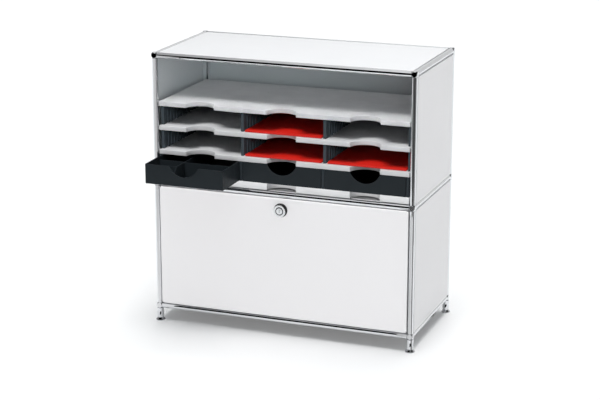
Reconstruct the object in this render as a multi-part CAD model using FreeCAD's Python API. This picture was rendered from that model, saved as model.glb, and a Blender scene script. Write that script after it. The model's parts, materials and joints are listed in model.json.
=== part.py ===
"""Tube-framed office cabinet: a letter sorter with three drawers above a lockable drop flap.

Millimetres, +Z up. X runs along the front, +Y towards the back. The origin is on the floor,
at the middle of the box that holds the whole object with its left drawer standing open.
Each piece is written to parts/NODE.step.
"""
import FreeCAD, Part
import math
import os
from FreeCAD import Placement, Rotation, Vector

# Tube frame. Widths, depths and bay heights run between tube axes.
WIDTH = 750.0
DEPTH = 350.0
LOWER_BAY = 364.0
UPPER_BAY = 364.0
TUBE_D = 16.0
TUBE_WALL = 1.5
BALL_D = 21.5
BALL_FLAT = 8.2            # ball centre to each of its six flats
SPIGOT_LENGTH = 12.0       # reach of a ball's spigot into its tube
SPIGOT_FIT = 0.05          # radial

# Levelling feet
FOOT_HEIGHT = 45.0         # floor to the axes of the lowest rails
SLEEVE_D = 19.0
DISC_D = 28.0
DISC_HEIGHT = 8.5
DISC_RIM = 2.5             # upright edge of the disc
DISC_TOP_D = 17.0
STEM_D = 8.0
STEM_LENGTH = 18.0
STEM_FIT = 0.05            # radial
FOOT_GAP = 0.3             # disc to sleeve

# Folded sheet panels
SHEET = 1.0
FLANGE = 11.0
PANEL_GAP = 0.35           # panel edge to tube
PANEL_INSET = 0.8          # panel face behind the tubes' outer tangent
CORNER_CUT = 4.0

# Letter sorter, standing in the upper bay
SORTER_PROUD = 3.0         # sorter front ahead of the front rail axis
SORTER_REAR_ROOM = 27.0    # sorter rear ahead of the rear rail axis
SORTER_SIDE_GAP = 1.5      # sorter end to post
PLATE = 12.5
PLATE_SKIN = 3.0
PLATE_LIP = 3.0
OPENING = 56.0             # clear height of each row
ROWS = 3                   # the drawers and two rows of letter slots
COLUMNS = 3
WALL = 9.0                 # thickness of the upright walls
WALL_SETBACK = 13.0        # wall fronts behind the plate fronts in the letter rows
WALL_EDGE_R = 3.0
DRAWER_WALL_SETBACK = 0.6
FLUTE_PITCH = 20.0
FLUTE_WIDTH = 8.0
FLUTE_DEPTH = 1.5
BACK_WALL = 3.0
NOTCH_R = 43.0
NOTCH_DEPTH = 38.0
PAD_D = 16.0
PAD_EDGE = 40.0            # pad centres in from the sorter's front and back
PAD_INSET = 1.5            # outer pads in from the sorter's left and right ends
SORTER_LIFT = 8.8          # height of the pads
SKIRT_GAP = 1.5            # lower edge of the base's front lip above the middle rail
DOWEL_D = 4.0
DOWEL_FIT = 0.05           # radial
DOWEL_REACH = 7.0          # into each wall
DOWEL_ENDS = 45.0          # dowels from a wall's front and back ends
STACK_HOLE_D = 4.0
STACK_HOLE_FIRST = 27.0    # first row of stacking holes behind the front edge
STACK_HOLE_PITCH = 92.0
STACK_HOLES = 4            # per wall, front to back

# Slide-in boards in the letter rows
BOARD_THICK = 5.0
BOARD_SKIN = 2.0
BOARD_SIDE_GAP = 4.0
BOARD_SETBACK = 12.0       # board front behind the plate front
BOARD_REAR_GAP = 11.0      # board rear ahead of the back wall
BOARD_FLOAT = 0.3          # above the plate
BOARD_SLOTS = {"upper_centre_board": (2, 1), "lower_centre_board": (1, 1), "lower_right_board": (1, 2)}

# Drawers under the letter rows
DRAWER_OPEN = 115.0        # how far the left drawer stands open
DRAWER_SIDE_GAP = 0.4
DRAWER_FLOAT = 0.3
DRAWER_TOP_GAP = 0.8
DRAWER_REAR_GAP = 2.0
DRAWER_FRONT = 3.0
DRAWER_SIDE = 2.2
DRAWER_FLOOR = 2.2
GRIP_CHORD = 85.0
GRIP_DEPTH = 29.0
GRIP_SHOULDER_R = 6.0
TRAY_FLOOR = 1.5
TRAY_WALL = 2.0
TRAY_HEIGHT = 44.0
TRAY_FIT = 0.3
TRAY_LEFT = 76.0           # width of the left column of cells
TRAY_POCKET = 80.0         # front to back size of the note pocket
TRAY_CELLS = (28.0, 84.0, 190.0)   # cross walls of the left column, from the tray front
TRAY_SLOPE = 30.0          # length of the sloping front end of the long wall
TRAY_NOSE = 14.5           # height of the long wall at its front end

# Drop flap in the lower bay
FLAP_GAP = 1.2
FLAP_AXIS_UP = 3.0         # hinge axis above the flap's lower edge
FLAP_AXIS_IN = 3.2         # hinge axis behind the flap's face
PIN_D = 4.0
PIN_FIT = 0.05             # radial, in the flap
PIN_PRESS = 0.02           # radial, in the post
PIN_REACH = 6.0            # past the flap's side flange
STAY_R = 90.0
STAY_HEIGHT = 6.0          # radial
STAY_THICK = 2.0
STAY_IN = 8.0              # stay inside the flap's side flange
STAY_HEAD = 2.0            # head proud of the stay, above and below it
STAY_HEAD_LENGTH = 2.0
STAY_FOOT = (6.0, 24.0)    # width and height of the foot on the flap
GUIDE_THICK = 3.0
GUIDE_GAP = 1.0            # guide behind the flap's flange
GUIDE_RIM = 4.0
GUIDE_FIT = 0.6            # slot to stay, all round
GUIDE_SEAT_GAP = 0.02      # radial, guide to post
STOP_GAP = 0.4             # stay head to guide when the flap is open
FLAP_OPEN = 90.0           # degrees

# Lock, in the middle of the flap
LOCK_DROP = 42.0           # below the axis of the middle rail
ROSETTE_D = 39.0
ROSETTE_FRONT_D = 35.0
ROSETTE_PROUD = 12.0
ROSETTE_RIM = 4.0          # straight edge of the rosette next to the flap
LOCK_RECESS_D = 22.5
LOCK_RECESS = 5.0
LOCK_GAP = 0.3             # cylinder head to the floor of the recess
BARREL_D = 18.0
BARREL_FIT = 0.05          # radial
LOCK_NECK_D = 24.0
CYLINDER_HEAD_D = 18.6
CYLINDER_PROUD = 0.5
KEYWAY = (1.6, 8.0, 3.0)   # width, height and depth
NUT_D = 32.0
NUT_THICK = 4.0
CAM_THICK = 2.5
CAM_WIDTH = 14.0
CAM_GAP = 0.45             # cam behind the middle rail when locked
CAM_CLEARANCE = 0.8        # cam tip below the shelf panel's flange when locked

# Derived levels and places
TUBE_R = TUBE_D / 2
BALL_R = BALL_D / 2
FRONT_REACH = SORTER_PROUD + DRAWER_OPEN
REAR_REACH = DEPTH + max(DISC_D, BALL_D) / 2
Y_FRONT = (FRONT_REACH - REAR_REACH) / 2
Y_REAR = Y_FRONT + DEPTH
X_LEFT = -WIDTH / 2
X_RIGHT = WIDTH / 2
Z_BOTTOM = FOOT_HEIGHT
Z_MIDDLE = Z_BOTTOM + LOWER_BAY
Z_TOP = Z_MIDDLE + UPPER_BAY
FACE = TUBE_R - PANEL_INSET            # panel face from the tube axes

SORTER_X = X_LEFT + TUBE_R + SORTER_SIDE_GAP
SORTER_WIDTH = WIDTH - TUBE_D - 2 * SORTER_SIDE_GAP
SORTER_DEPTH = DEPTH + SORTER_PROUD - SORTER_REAR_ROOM
SORTER_Y = Y_FRONT - SORTER_PROUD
SORTER_REAR = SORTER_Y + SORTER_DEPTH
SORTER_Z = Z_MIDDLE + FACE + SORTER_LIFT
ROW = PLATE + OPENING
COLUMN = (SORTER_WIDTH - WALL) / COLUMNS
SLOT_WIDTH = COLUMN - WALL
WALL_REAR = SORTER_REAR - BACK_WALL
BOARD_DEPTH = SORTER_DEPTH - BACK_WALL - BOARD_SETBACK - BOARD_REAR_GAP

FLAP_FACE_Y = Y_FRONT - FACE
FLAP_Z = Z_BOTTOM + TUBE_R + FLAP_GAP
FLAP_HEIGHT = LOWER_BAY - TUBE_D - 2 * FLAP_GAP
FLAP_WIDTH = WIDTH - TUBE_D - 2 * FLAP_GAP
HINGE_Y = FLAP_FACE_Y + FLAP_AXIS_IN
HINGE_Z = FLAP_Z + FLAP_AXIS_UP
LOCK_Z = Z_MIDDLE - LOCK_DROP
CAM_Y = Y_FRONT + TUBE_R + CAM_GAP
CAM_LENGTH = LOCK_DROP - (FLANGE - FACE) - CAM_CLEARANCE


def box(x0, y0, z0, x1, y1, z1):
    return Part.makeBox(x1 - x0, y1 - y0, z1 - z0, Vector(x0, y0, z0))


def rod(start, direction, radius, length):
    return Part.makeCylinder(radius, length, start, direction)


def prism(points, height):
    """A closed outline in XY, extruded upwards from its own level."""
    wire = Part.makePolygon(points + points[:1])
    return Part.Face(wire).extrude(Vector(0, 0, height))


def revolve(profile, centre, axis=Vector(0, 0, 1), side=Vector(1, 0, 0)):
    """Turn (radius, height) points about an axis through centre."""
    points = [centre + side * r + axis * h for r, h in profile]
    wire = Part.makePolygon(points + points[:1])
    return Part.Face(wire).revolve(centre, axis, 360)


def save(name, *shapes):
    """Write one piece, or several separate pieces of one kind, as a STEP file."""
    shape = shapes[0] if len(shapes) == 1 else Part.makeCompound(list(shapes))
    shape.exportStep("parts/" + name + ".step")


# ---------------------------------------------------------------- tube frame

def tube(start, end):
    """A tube between the facing flats of two balls."""
    along = (end - start).normalize()
    length = (end - start).Length - 2 * BALL_FLAT
    foot = start + along * BALL_FLAT
    bore = rod(foot, along, TUBE_R - TUBE_WALL, length)
    return rod(foot, along, TUBE_R, length).cut(bore)


def ball(centre, directions):
    """A six-flatted ball with a spigot for each tube that meets it."""
    shape = Part.makeSphere(BALL_R, centre)
    flats = Part.makeBox(2 * BALL_FLAT, 2 * BALL_FLAT, 2 * BALL_FLAT,
                         centre - Vector(BALL_FLAT, BALL_FLAT, BALL_FLAT))
    shape = shape.common(flats)
    radius = TUBE_R - TUBE_WALL - SPIGOT_FIT
    for direction in directions:
        shape = shape.fuse(rod(centre, direction, radius, BALL_FLAT + SPIGOT_LENGTH))
    return shape


def corners(level):
    """The four post axes at one level, with the directions of the two rails that leave each."""
    for x, inward in ((X_LEFT, 1), (X_RIGHT, -1)):
        for y, back in ((Y_FRONT, 1), (Y_REAR, -1)):
            yield Vector(x, y, level), [Vector(inward, 0, 0), Vector(0, back, 0)]


def post(x, y, low, high):
    return tube(Vector(x, y, low), Vector(x, y, high))


def make_frame():
    up, down = Vector(0, 0, 1), Vector(0, 0, -1)
    levels = {"bottom": (Z_BOTTOM, [up]), "middle": (Z_MIDDLE, [up, down]), "top": (Z_TOP, [down])}
    for level, (z, posts) in levels.items():
        save(level + "_connector_balls", *[ball(c, rails + posts) for c, rails in corners(z)])
        for side, y in (("front", Y_FRONT), ("rear", Y_REAR)):
            save(level + "_" + side + "_rail", tube(Vector(X_LEFT, y, z), Vector(X_RIGHT, y, z)))
        for side, x in (("left", X_LEFT), ("right", X_RIGHT)):
            save(level + "_" + side + "_rail", tube(Vector(x, Y_FRONT, z), Vector(x, Y_REAR, z)))
    for side, x, inward in (("left", X_LEFT, 1), ("right", X_RIGHT, -1)):
        hinge_hole = pin(x, inward, PIN_D / 2 + PIN_PRESS)
        save("lower_front_" + side + "_post", post(x, Y_FRONT, Z_BOTTOM, Z_MIDDLE).cut(hinge_hole))
        save("upper_front_" + side + "_post", post(x, Y_FRONT, Z_MIDDLE, Z_TOP))
    for bay, low, high in (("lower", Z_BOTTOM, Z_MIDDLE), ("upper", Z_MIDDLE, Z_TOP)):
        save(bay + "_rear_posts", *[post(x, Y_REAR, low, high) for x in (X_LEFT, X_RIGHT)])


# ---------------------------------------------------------------- feet

def sleeve(centre):
    length = FOOT_HEIGHT - BALL_FLAT - DISC_HEIGHT - FOOT_GAP
    top = centre - Vector(0, 0, BALL_FLAT)
    body = rod(top, Vector(0, 0, -1), SLEEVE_D / 2, length)
    bore = rod(top - Vector(0, 0, length), Vector(0, 0, 1), STEM_D / 2 + STEM_FIT,
               STEM_LENGTH + FOOT_GAP)
    return body.cut(bore)


def levelling_foot(x, y):
    stem_top = DISC_HEIGHT + STEM_LENGTH
    profile = [(0, 0), (DISC_D / 2, 0), (DISC_D / 2, DISC_RIM), (DISC_TOP_D / 2, DISC_HEIGHT),
               (STEM_D / 2, DISC_HEIGHT), (STEM_D / 2, stem_top), (0, stem_top)]
    return revolve(profile, Vector(x, y, 0))


def make_feet():
    places = [c for c, _ in corners(Z_BOTTOM)]
    save("foot_sleeves", *[sleeve(c) for c in places])
    for centre in places:
        end = "front" if centre.y < Y_REAR else "rear"
        side = "left" if centre.x < 0 else "right"
        save(end + "_" + side + "_foot", levelling_foot(centre.x, centre.y))


# ---------------------------------------------------------------- panels

def chamfered(length, breadth, cut, z):
    x, y = length / 2, breadth / 2
    return [Vector(-x + cut, -y, z), Vector(x - cut, -y, z), Vector(x, -y + cut, z),
            Vector(x, y - cut, z), Vector(x - cut, y, z), Vector(-x + cut, y, z),
            Vector(-x, y - cut, z), Vector(-x, -y + cut, z)]


def sheet_tray(length, breadth, origin, along, normal):
    """A flat sheet whose face looks along normal, with its edges folded back by the flange."""
    outer = prism(chamfered(length, breadth, CORNER_CUT, -FLANGE), FLANGE)
    inner_cut = CORNER_CUT - SHEET * (2 - math.sqrt(2))
    inner = prism(chamfered(length - 2 * SHEET, breadth - 2 * SHEET, inner_cut, -FLANGE),
                  FLANGE - SHEET)
    shape = outer.cut(inner)
    shape.Placement = Placement(origin, Rotation(along, normal.cross(along), normal, "ZXY"))
    return shape


def panel(length, breadth, origin, along, normal):
    room = TUBE_D + 2 * PANEL_GAP
    return sheet_tray(length - room, breadth - room, origin, along, normal)


def make_panels():
    x, z = Vector(1, 0, 0), Vector(0, 0, 1)
    y_mid = (Y_FRONT + Y_REAR) / 2
    save("top_panel", panel(WIDTH, DEPTH, Vector(0, y_mid, Z_TOP + FACE), x, z))
    save("shelf_panel", panel(WIDTH, DEPTH, Vector(0, y_mid, Z_MIDDLE + FACE), x, z))
    save("bottom_panel", panel(WIDTH, DEPTH, Vector(0, y_mid, Z_BOTTOM - FACE), x, -z))
    bays = {"lower": (Z_BOTTOM, LOWER_BAY), "upper": (Z_MIDDLE, UPPER_BAY)}
    for bay, (level, height) in bays.items():
        middle = level + height / 2
        back = Vector(0, Y_REAR + FACE, middle)
        save(bay + "_back_panel", panel(WIDTH, height, back, x, Vector(0, 1, 0)))
        for side, sign in (("left", -1), ("right", 1)):
            place = Vector(sign * (WIDTH / 2 + FACE), y_mid, middle)
            shape = panel(DEPTH, height, place, Vector(0, 1, 0), Vector(sign, 0, 0))
            save(bay + "_" + side + "_panel", shape)


# ---------------------------------------------------------------- letter sorter

def wall_x(index):
    """Left face of an upright wall, counted from the left end."""
    return SORTER_X + index * COLUMN


def slot_x(column):
    """Left side of the clear space in a column."""
    return wall_x(column) + WALL


def row_z(row):
    """Floor of a row. Row 0 holds the drawers."""
    return SORTER_Z + PLATE + row * ROW


def notch(column, z, height, grow=0.0):
    """The finger notch of one column, as a solid to cut away."""
    centre = Vector(slot_x(column) + SLOT_WIDTH / 2, SORTER_Y - NOTCH_R + NOTCH_DEPTH, z)
    return rod(centre, Vector(0, 0, 1), NOTCH_R + grow, height)


def plate(z):
    """A moulded plate: a skin with a deep lip all round, hollow underneath each column."""
    shape = box(SORTER_X, SORTER_Y, z, SORTER_X + SORTER_WIDTH, SORTER_REAR, z + PLATE)
    for column in range(COLUMNS):
        hollow = box(slot_x(column), SORTER_Y + PLATE_LIP, z, slot_x(column) + SLOT_WIDTH,
                     WALL_REAR - PLATE_LIP, z + PLATE - PLATE_SKIN)
        shape = shape.cut(hollow.cut(notch(column, z, PLATE, PLATE_LIP)))
        shape = shape.cut(notch(column, z, PLATE))
    return shape


def base_skirt():
    """The front lip of the base, carried on down to just above the middle rail."""
    low = Z_MIDDLE + TUBE_R + SKIRT_GAP
    height = SORTER_Z - low
    right, depth = SORTER_X + SORTER_WIDTH, SORTER_Y + NOTCH_DEPTH + PLATE_LIP
    room = box(SORTER_X, SORTER_Y, low, right, depth, SORTER_Z)
    skirt = box(SORTER_X, SORTER_Y, low, right, SORTER_Y + PLATE_LIP, SORTER_Z)
    for column in range(COLUMNS):
        skirt = skirt.fuse(notch(column, low, height, PLATE_LIP).common(room))
    for column in range(COLUMNS):
        skirt = skirt.cut(notch(column, low, height))
    return skirt


def stacking_holes(z):
    holes = []
    for index in range(COLUMNS + 1):
        for step in range(STACK_HOLES):
            place = Vector(wall_x(index) + WALL / 2,
                           SORTER_Y + STACK_HOLE_FIRST + step * STACK_HOLE_PITCH,
                           z + PLATE - PLATE_SKIN)
            holes.append(rod(place, Vector(0, 0, 1), STACK_HOLE_D / 2, PLATE_SKIN))
    return holes


def dowel_places(index):
    """Dowel axes in one wall: near its front and near its back."""
    x = wall_x(index) + WALL / 2
    return [(x, SORTER_Y + DOWEL_ENDS), (x, SORTER_REAR - DOWEL_ENDS)]


def dowel_spans():
    """Bottom and top of the dowels that tie each plate to the walls below and above it."""
    spans = []
    for level in range(ROWS + 1):
        z = SORTER_Z + level * ROW
        low = z - DOWEL_REACH if level > 0 else z + PLATE / 2
        high = z + PLATE + DOWEL_REACH if level < ROWS else z + PLATE / 2
        spans.append((low, high))
    return spans


def all_dowels(radius):
    dowels = []
    for index in range(COLUMNS + 1):
        for x, y in dowel_places(index):
            for low, high in dowel_spans():
                dowels.append(rod(Vector(x, y, low), Vector(0, 0, 1), radius, high - low))
    return dowels


def upright_wall(index, row, setback):
    """A wall between two plates, fluted on the sides that face a compartment."""
    x, z = wall_x(index), row_z(row)
    front = SORTER_Y + setback
    shape = box(x, front, z, x + WALL, WALL_REAR, z + OPENING)
    edges = [e for e in shape.Edges if is_front_upright(e, front)]
    shape = shape.makeFillet(WALL_EDGE_R, edges)
    flutes = []
    y = front + FLUTE_PITCH
    while y + FLUTE_WIDTH < WALL_REAR:
        if index < COLUMNS:
            flutes.append(box(x + WALL - FLUTE_DEPTH, y, z, x + WALL, y + FLUTE_WIDTH, z + OPENING))
        if index > 0:
            flutes.append(box(x, y, z, x + FLUTE_DEPTH, y + FLUTE_WIDTH, z + OPENING))
        y += FLUTE_PITCH
    return shape.cut(flutes)


def is_front_upright(edge, front):
    near = 0.01
    a, b = edge.Vertexes[0].Point, edge.Vertexes[1].Point
    upright = abs(a.x - b.x) < near and abs(a.y - b.y) < near
    return upright and abs(a.y - front) < near


def make_sorter():
    dowel_holes = all_dowels(DOWEL_D / 2 + DOWEL_FIT)
    for level, name in enumerate(("base", "lower_shelf", "upper_shelf", "top")):
        z = SORTER_Z + level * ROW
        shape = plate(z).cut(dowel_holes)
        if name == "base":
            shape = shape.fuse(base_skirt()).removeSplitter()
        if name == "top":
            shape = shape.cut(stacking_holes(z))
        save("sorter_" + name, shape)
    setbacks = {0: DRAWER_WALL_SETBACK, 1: WALL_SETBACK, 2: WALL_SETBACK}
    for row, name in enumerate(("drawer_row", "lower_row", "upper_row")):
        walls = [upright_wall(index, row, setbacks[row]) for index in range(COLUMNS + 1)]
        save("sorter_" + name + "_walls", *[w.cut(dowel_holes) for w in walls])
    backs = [box(SORTER_X, WALL_REAR, row_z(row), SORTER_X + SORTER_WIDTH, SORTER_REAR,
                 row_z(row) + OPENING) for row in range(ROWS)]
    save("sorter_back_walls", *backs)
    save("sorter_dowels", *all_dowels(DOWEL_D / 2))
    make_pads()


def make_pads():
    """Rubber pads between the shelf panel and the sorter's solid rims."""
    pads = []
    for index in range(COLUMNS + 1):
        x = wall_x(index) + WALL / 2
        x = min(max(x, SORTER_X + PAD_D / 2 + PAD_INSET),
                SORTER_X + SORTER_WIDTH - PAD_D / 2 - PAD_INSET)
        for y in (SORTER_Y + PAD_EDGE, SORTER_REAR - PAD_EDGE):
            pads.append(rod(Vector(x, y, SORTER_Z - SORTER_LIFT), Vector(0, 0, 1), PAD_D / 2,
                            SORTER_LIFT))
    save("sorter_pads", *pads)


# ---------------------------------------------------------------- boards

def board(row, column):
    """A shallow slide-in board: a skin with a turned-down rim, hollow underneath."""
    x = slot_x(column) + BOARD_SIDE_GAP
    width = SLOT_WIDTH - 2 * BOARD_SIDE_GAP
    y = SORTER_Y + BOARD_SETBACK
    z = row_z(row) + BOARD_FLOAT
    shape = box(x, y, z, x + width, y + BOARD_DEPTH, z + BOARD_THICK)
    hollow = box(x + BOARD_SKIN, y + BOARD_SKIN, z, x + width - BOARD_SKIN,
                 y + BOARD_DEPTH - BOARD_SKIN, z + BOARD_THICK - BOARD_SKIN)
    return shape.cut(hollow)


# ---------------------------------------------------------------- drawers

def grip_cutter(x, y, top, thick):
    """The finger grip in a drawer front: a shallow arc that meets the rim in round shoulders."""
    radius = (GRIP_CHORD ** 2 / 4 + GRIP_DEPTH ** 2) / (2 * GRIP_DEPTH)
    shoulder = GRIP_SHOULDER_R
    centre_z = top - GRIP_DEPTH + radius
    reach = math.sqrt((radius + shoulder) ** 2 - (centre_z - top + shoulder) ** 2)
    share = radius / (radius + shoulder)

    def point(px, pz):
        return Vector(x + px, y, pz)

    touch_x = reach * share
    touch_z = centre_z + (top - shoulder - centre_z) * share
    half_turn = math.atan2(reach, centre_z - top + shoulder) / 2
    mid_x = reach - shoulder * math.sin(half_turn)
    mid_z = top - shoulder + shoulder * math.cos(half_turn)
    above = top + shoulder
    edges = [
        Part.Arc(point(-reach, top), point(-mid_x, mid_z), point(-touch_x, touch_z)).toShape(),
        Part.Arc(point(-touch_x, touch_z), point(0, top - GRIP_DEPTH), point(touch_x, touch_z)).toShape(),
        Part.Arc(point(touch_x, touch_z), point(mid_x, mid_z), point(reach, top)).toShape(),
        Part.makeLine(point(reach, top), point(reach, above)),
        Part.makeLine(point(reach, above), point(-reach, above)),
        Part.makeLine(point(-reach, above), point(-reach, top)),
    ]
    return Part.Face(Part.Wire(edges)).extrude(Vector(0, thick, 0))


def drawer_box(column, pulled):
    """Outer corner and size of a drawer."""
    x = slot_x(column) + DRAWER_SIDE_GAP
    y = SORTER_Y - pulled
    z = row_z(0) + DRAWER_FLOAT
    size = (SLOT_WIDTH - 2 * DRAWER_SIDE_GAP, WALL_REAR - SORTER_Y - DRAWER_REAR_GAP,
            OPENING - DRAWER_FLOAT - DRAWER_TOP_GAP)
    return (x, y, z), size


def drawer(column, pulled=0.0):
    (x, y, z), (width, depth, height) = drawer_box(column, pulled)
    shape = box(x, y, z, x + width, y + depth, z + height)
    inside = box(x + DRAWER_SIDE, y + DRAWER_FRONT, z + DRAWER_FLOOR, x + width - DRAWER_SIDE,
                 y + depth - DRAWER_SIDE, z + height)
    return shape.cut(inside).cut(grip_cutter(x + width / 2, y, z + height, DRAWER_FRONT))


def organiser_tray(column, pulled):
    """A loose tray of cells in a drawer: a floor, one long wall and cross walls."""
    (x, y, z), (width, depth, height) = drawer_box(column, pulled)
    x0, x1 = x + DRAWER_SIDE + TRAY_FIT, x + width - DRAWER_SIDE - TRAY_FIT
    y0, y1 = y + DRAWER_FRONT + TRAY_FIT, y + depth - DRAWER_SIDE - TRAY_FIT
    z0 = z + DRAWER_FLOOR
    top = z0 + TRAY_HEIGHT
    wall = x0 + TRAY_LEFT
    shape = box(x0, y0, z0, x1, y1, z0 + TRAY_FLOOR)
    pieces = [box(wall, y0, z0, wall + TRAY_WALL, y1, top),
              box(wall, y0 + TRAY_POCKET, z0, x1, y0 + TRAY_POCKET + TRAY_WALL, top)]
    for cell in TRAY_CELLS:
        pieces.append(box(x0, y0 + cell, z0, wall + TRAY_WALL, y0 + cell + TRAY_WALL, top))
    shape = shape.fuse(pieces)
    low = z0 + TRAY_NOSE
    slope = [Vector(wall, y0, low), Vector(wall, y0 + TRAY_SLOPE, top), Vector(wall, y0, top)]
    wedge = Part.Face(Part.makePolygon(slope + slope[:1])).extrude(Vector(TRAY_WALL, 0, 0))
    return shape.cut(wedge)


# ---------------------------------------------------------------- flap, stays and lock

def pin(post_x, inward, radius):
    """The hinge pin from one front post through the flap's side flange."""
    start = Vector(post_x, HINGE_Y, HINGE_Z)
    length = TUBE_R + FLAP_GAP + SHEET + PIN_REACH
    shape = rod(start, Vector(inward, 0, 0), radius, length)
    core = rod(Vector(post_x, Y_FRONT, HINGE_Z - PIN_D), Vector(0, 0, 1),
               TUBE_R - TUBE_WALL + PIN_PRESS, 2 * PIN_D)
    return shape.cut(core)


def flap_panel():
    place = Vector(0, FLAP_FACE_Y, FLAP_Z + FLAP_HEIGHT / 2)
    shape = sheet_tray(FLAP_WIDTH, FLAP_HEIGHT, place, Vector(1, 0, 0), Vector(0, -1, 0))
    for x, inward in ((X_LEFT, 1), (X_RIGHT, -1)):
        shape = shape.cut(rod(Vector(x, HINGE_Y, HINGE_Z), Vector(inward, 0, 0),
                              PIN_D / 2 + PIN_FIT, TUBE_D))
    hole = rod(Vector(0, FLAP_FACE_Y, LOCK_Z), Vector(0, 1, 0), LOCK_NECK_D / 2, SHEET)
    return shape.cut(hole)


def guide_angle():
    """How far behind the upright through the hinge axis the stay guide stands, in degrees."""
    back = FLANGE + GUIDE_GAP + GUIDE_THICK / 2 - FLAP_AXIS_IN
    return math.degrees(math.asin(back / STAY_R))


def arc_slab(radius, half_height, start, end, x, thick):
    """A slab of ring about the hinge axis. Angles are from straight up, towards the back."""
    centre = Vector(x, HINGE_Y, HINGE_Z)

    def at(r, angle):
        a = math.radians(angle)
        return centre + Vector(0, r * math.sin(a), r * math.cos(a))

    inner, outer = radius - half_height, radius + half_height
    middle = (start + end) / 2
    edges = [
        Part.Arc(at(inner, start), at(inner, middle), at(inner, end)).toShape(),
        Part.makeLine(at(inner, end), at(outer, end)),
        Part.Arc(at(outer, end), at(outer, middle), at(outer, start)).toShape(),
        Part.makeLine(at(outer, start), at(inner, start)),
    ]
    return Part.Face(Part.Wire(edges)).extrude(Vector(thick, 0, 0))


def stay(x):
    """A quadrant stay: a foot on the flap, an arc through the guide and a head that stops it."""
    root = -math.degrees(math.asin((FLAP_AXIS_IN - SHEET) / STAY_R))
    guide_rear = FLANGE + GUIDE_GAP + GUIDE_THICK - FLAP_AXIS_IN
    head_inner = STAY_R - STAY_HEIGHT / 2 - STAY_HEAD
    neck = FLAP_OPEN + math.degrees(math.asin((guide_rear + STOP_GAP) / head_inner))
    arc = arc_slab(STAY_R, STAY_HEIGHT / 2, root, neck, x, STAY_THICK)
    tip = neck + math.degrees(STAY_HEAD_LENGTH / STAY_R)
    head = arc_slab(STAY_R, STAY_HEIGHT / 2 + STAY_HEAD, neck, tip, x, STAY_THICK)
    inner_face = FLAP_FACE_Y + SHEET
    foot_width, foot_height = STAY_FOOT
    foot_x = x + (STAY_THICK - foot_width) / 2
    foot_z = HINGE_Z + STAY_R - foot_height / 2
    foot = box(foot_x, inner_face, foot_z, foot_x + foot_width, inner_face + STAY_THICK,
               foot_z + foot_height)
    front = box(x, FLAP_FACE_Y - STAY_HEIGHT, HINGE_Z, x + STAY_THICK, inner_face,
                HINGE_Z + 2 * STAY_R)
    return arc.fuse(head).cut(front).fuse(foot)


def stay_guide(post_x, inward, stay_x):
    """A slotted lug on the front post that the stay runs through."""
    y = FLAP_FACE_Y + FLANGE + GUIDE_GAP
    centre_z = HINGE_Z + STAY_R * math.cos(math.radians(guide_angle()))
    half = STAY_HEIGHT / 2 + GUIDE_FIT
    far_x = stay_x + STAY_THICK / 2 + inward * (STAY_THICK / 2 + GUIDE_FIT + GUIDE_RIM)
    lug = box(min(post_x, far_x), y, centre_z - half - GUIDE_RIM, max(post_x, far_x),
              y + GUIDE_THICK, centre_z + half + GUIDE_RIM)
    slot = box(stay_x - GUIDE_FIT, y, centre_z - half, stay_x + STAY_THICK + GUIDE_FIT,
               y + GUIDE_THICK, centre_z + half)
    post = rod(Vector(post_x, Y_FRONT, centre_z - STAY_R / 2), Vector(0, 0, 1),
               TUBE_R + GUIDE_SEAT_GAP, STAY_R)
    return lug.cut(slot).cut(post)


def make_flap():
    left = X_LEFT + TUBE_R + FLAP_GAP + SHEET + STAY_IN
    right = X_RIGHT - TUBE_R - FLAP_GAP - SHEET - STAY_IN - STAY_THICK
    save("flap_panel", flap_panel())
    save("flap_hinge_pins", pin(X_LEFT, 1, PIN_D / 2), pin(X_RIGHT, -1, PIN_D / 2))
    save("flap_stays", stay(left), stay(right))
    save("stay_guides", stay_guide(X_LEFT, 1, left), stay_guide(X_RIGHT, -1, right))


def lock_turned(profile):
    """Turn (radius, distance behind the flap's face) points about the lock's axis."""
    return revolve(profile, Vector(0, FLAP_FACE_Y, LOCK_Z), Vector(0, 1, 0))


def lock_rosette():
    inner_face = CAM_Y - FLAP_FACE_Y - CAM_GAP
    bore = BARREL_D / 2 + BARREL_FIT
    return lock_turned([
        (LOCK_RECESS_D / 2, -ROSETTE_PROUD), (ROSETTE_FRONT_D / 2, -ROSETTE_PROUD),
        (ROSETTE_D / 2, -ROSETTE_RIM), (ROSETTE_D / 2, 0), (LOCK_NECK_D / 2, 0),
        (LOCK_NECK_D / 2, inner_face), (bore, inner_face), (bore, -ROSETTE_PROUD + LOCK_RECESS),
        (LOCK_RECESS_D / 2, -ROSETTE_PROUD + LOCK_RECESS)])


def lock_nut():
    return lock_turned([(LOCK_NECK_D / 2, SHEET), (NUT_D / 2, SHEET), (NUT_D / 2, SHEET + NUT_THICK),
                        (LOCK_NECK_D / 2, SHEET + NUT_THICK)])


def lock_cylinder():
    head = -ROSETTE_PROUD - CYLINDER_PROUD
    seat = -ROSETTE_PROUD + LOCK_RECESS - LOCK_GAP
    rear = CAM_Y - FLAP_FACE_Y
    shape = lock_turned([(0, head), (CYLINDER_HEAD_D / 2, head), (CYLINDER_HEAD_D / 2, seat),
                         (BARREL_D / 2, seat), (BARREL_D / 2, rear), (0, rear)])
    width, height, deep = KEYWAY
    y = FLAP_FACE_Y + head
    return shape.cut(box(-width / 2, y, LOCK_Z - height / 2, width / 2, y + deep, LOCK_Z + height / 2))


def lock_cam():
    """The locking tongue. It lies flat to the right, and turns up behind the rail to lock."""
    hub, axis = Vector(0, CAM_Y, LOCK_Z), Vector(0, 1, 0)
    tongue = box(0, CAM_Y, LOCK_Z - CAM_WIDTH / 2, CAM_LENGTH, CAM_Y + CAM_THICK,
                 LOCK_Z + CAM_WIDTH / 2)
    tongue = tongue.common(rod(hub, axis, CAM_LENGTH, CAM_THICK))
    return rod(hub, axis, BARREL_D / 2, CAM_THICK).fuse(tongue)


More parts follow.
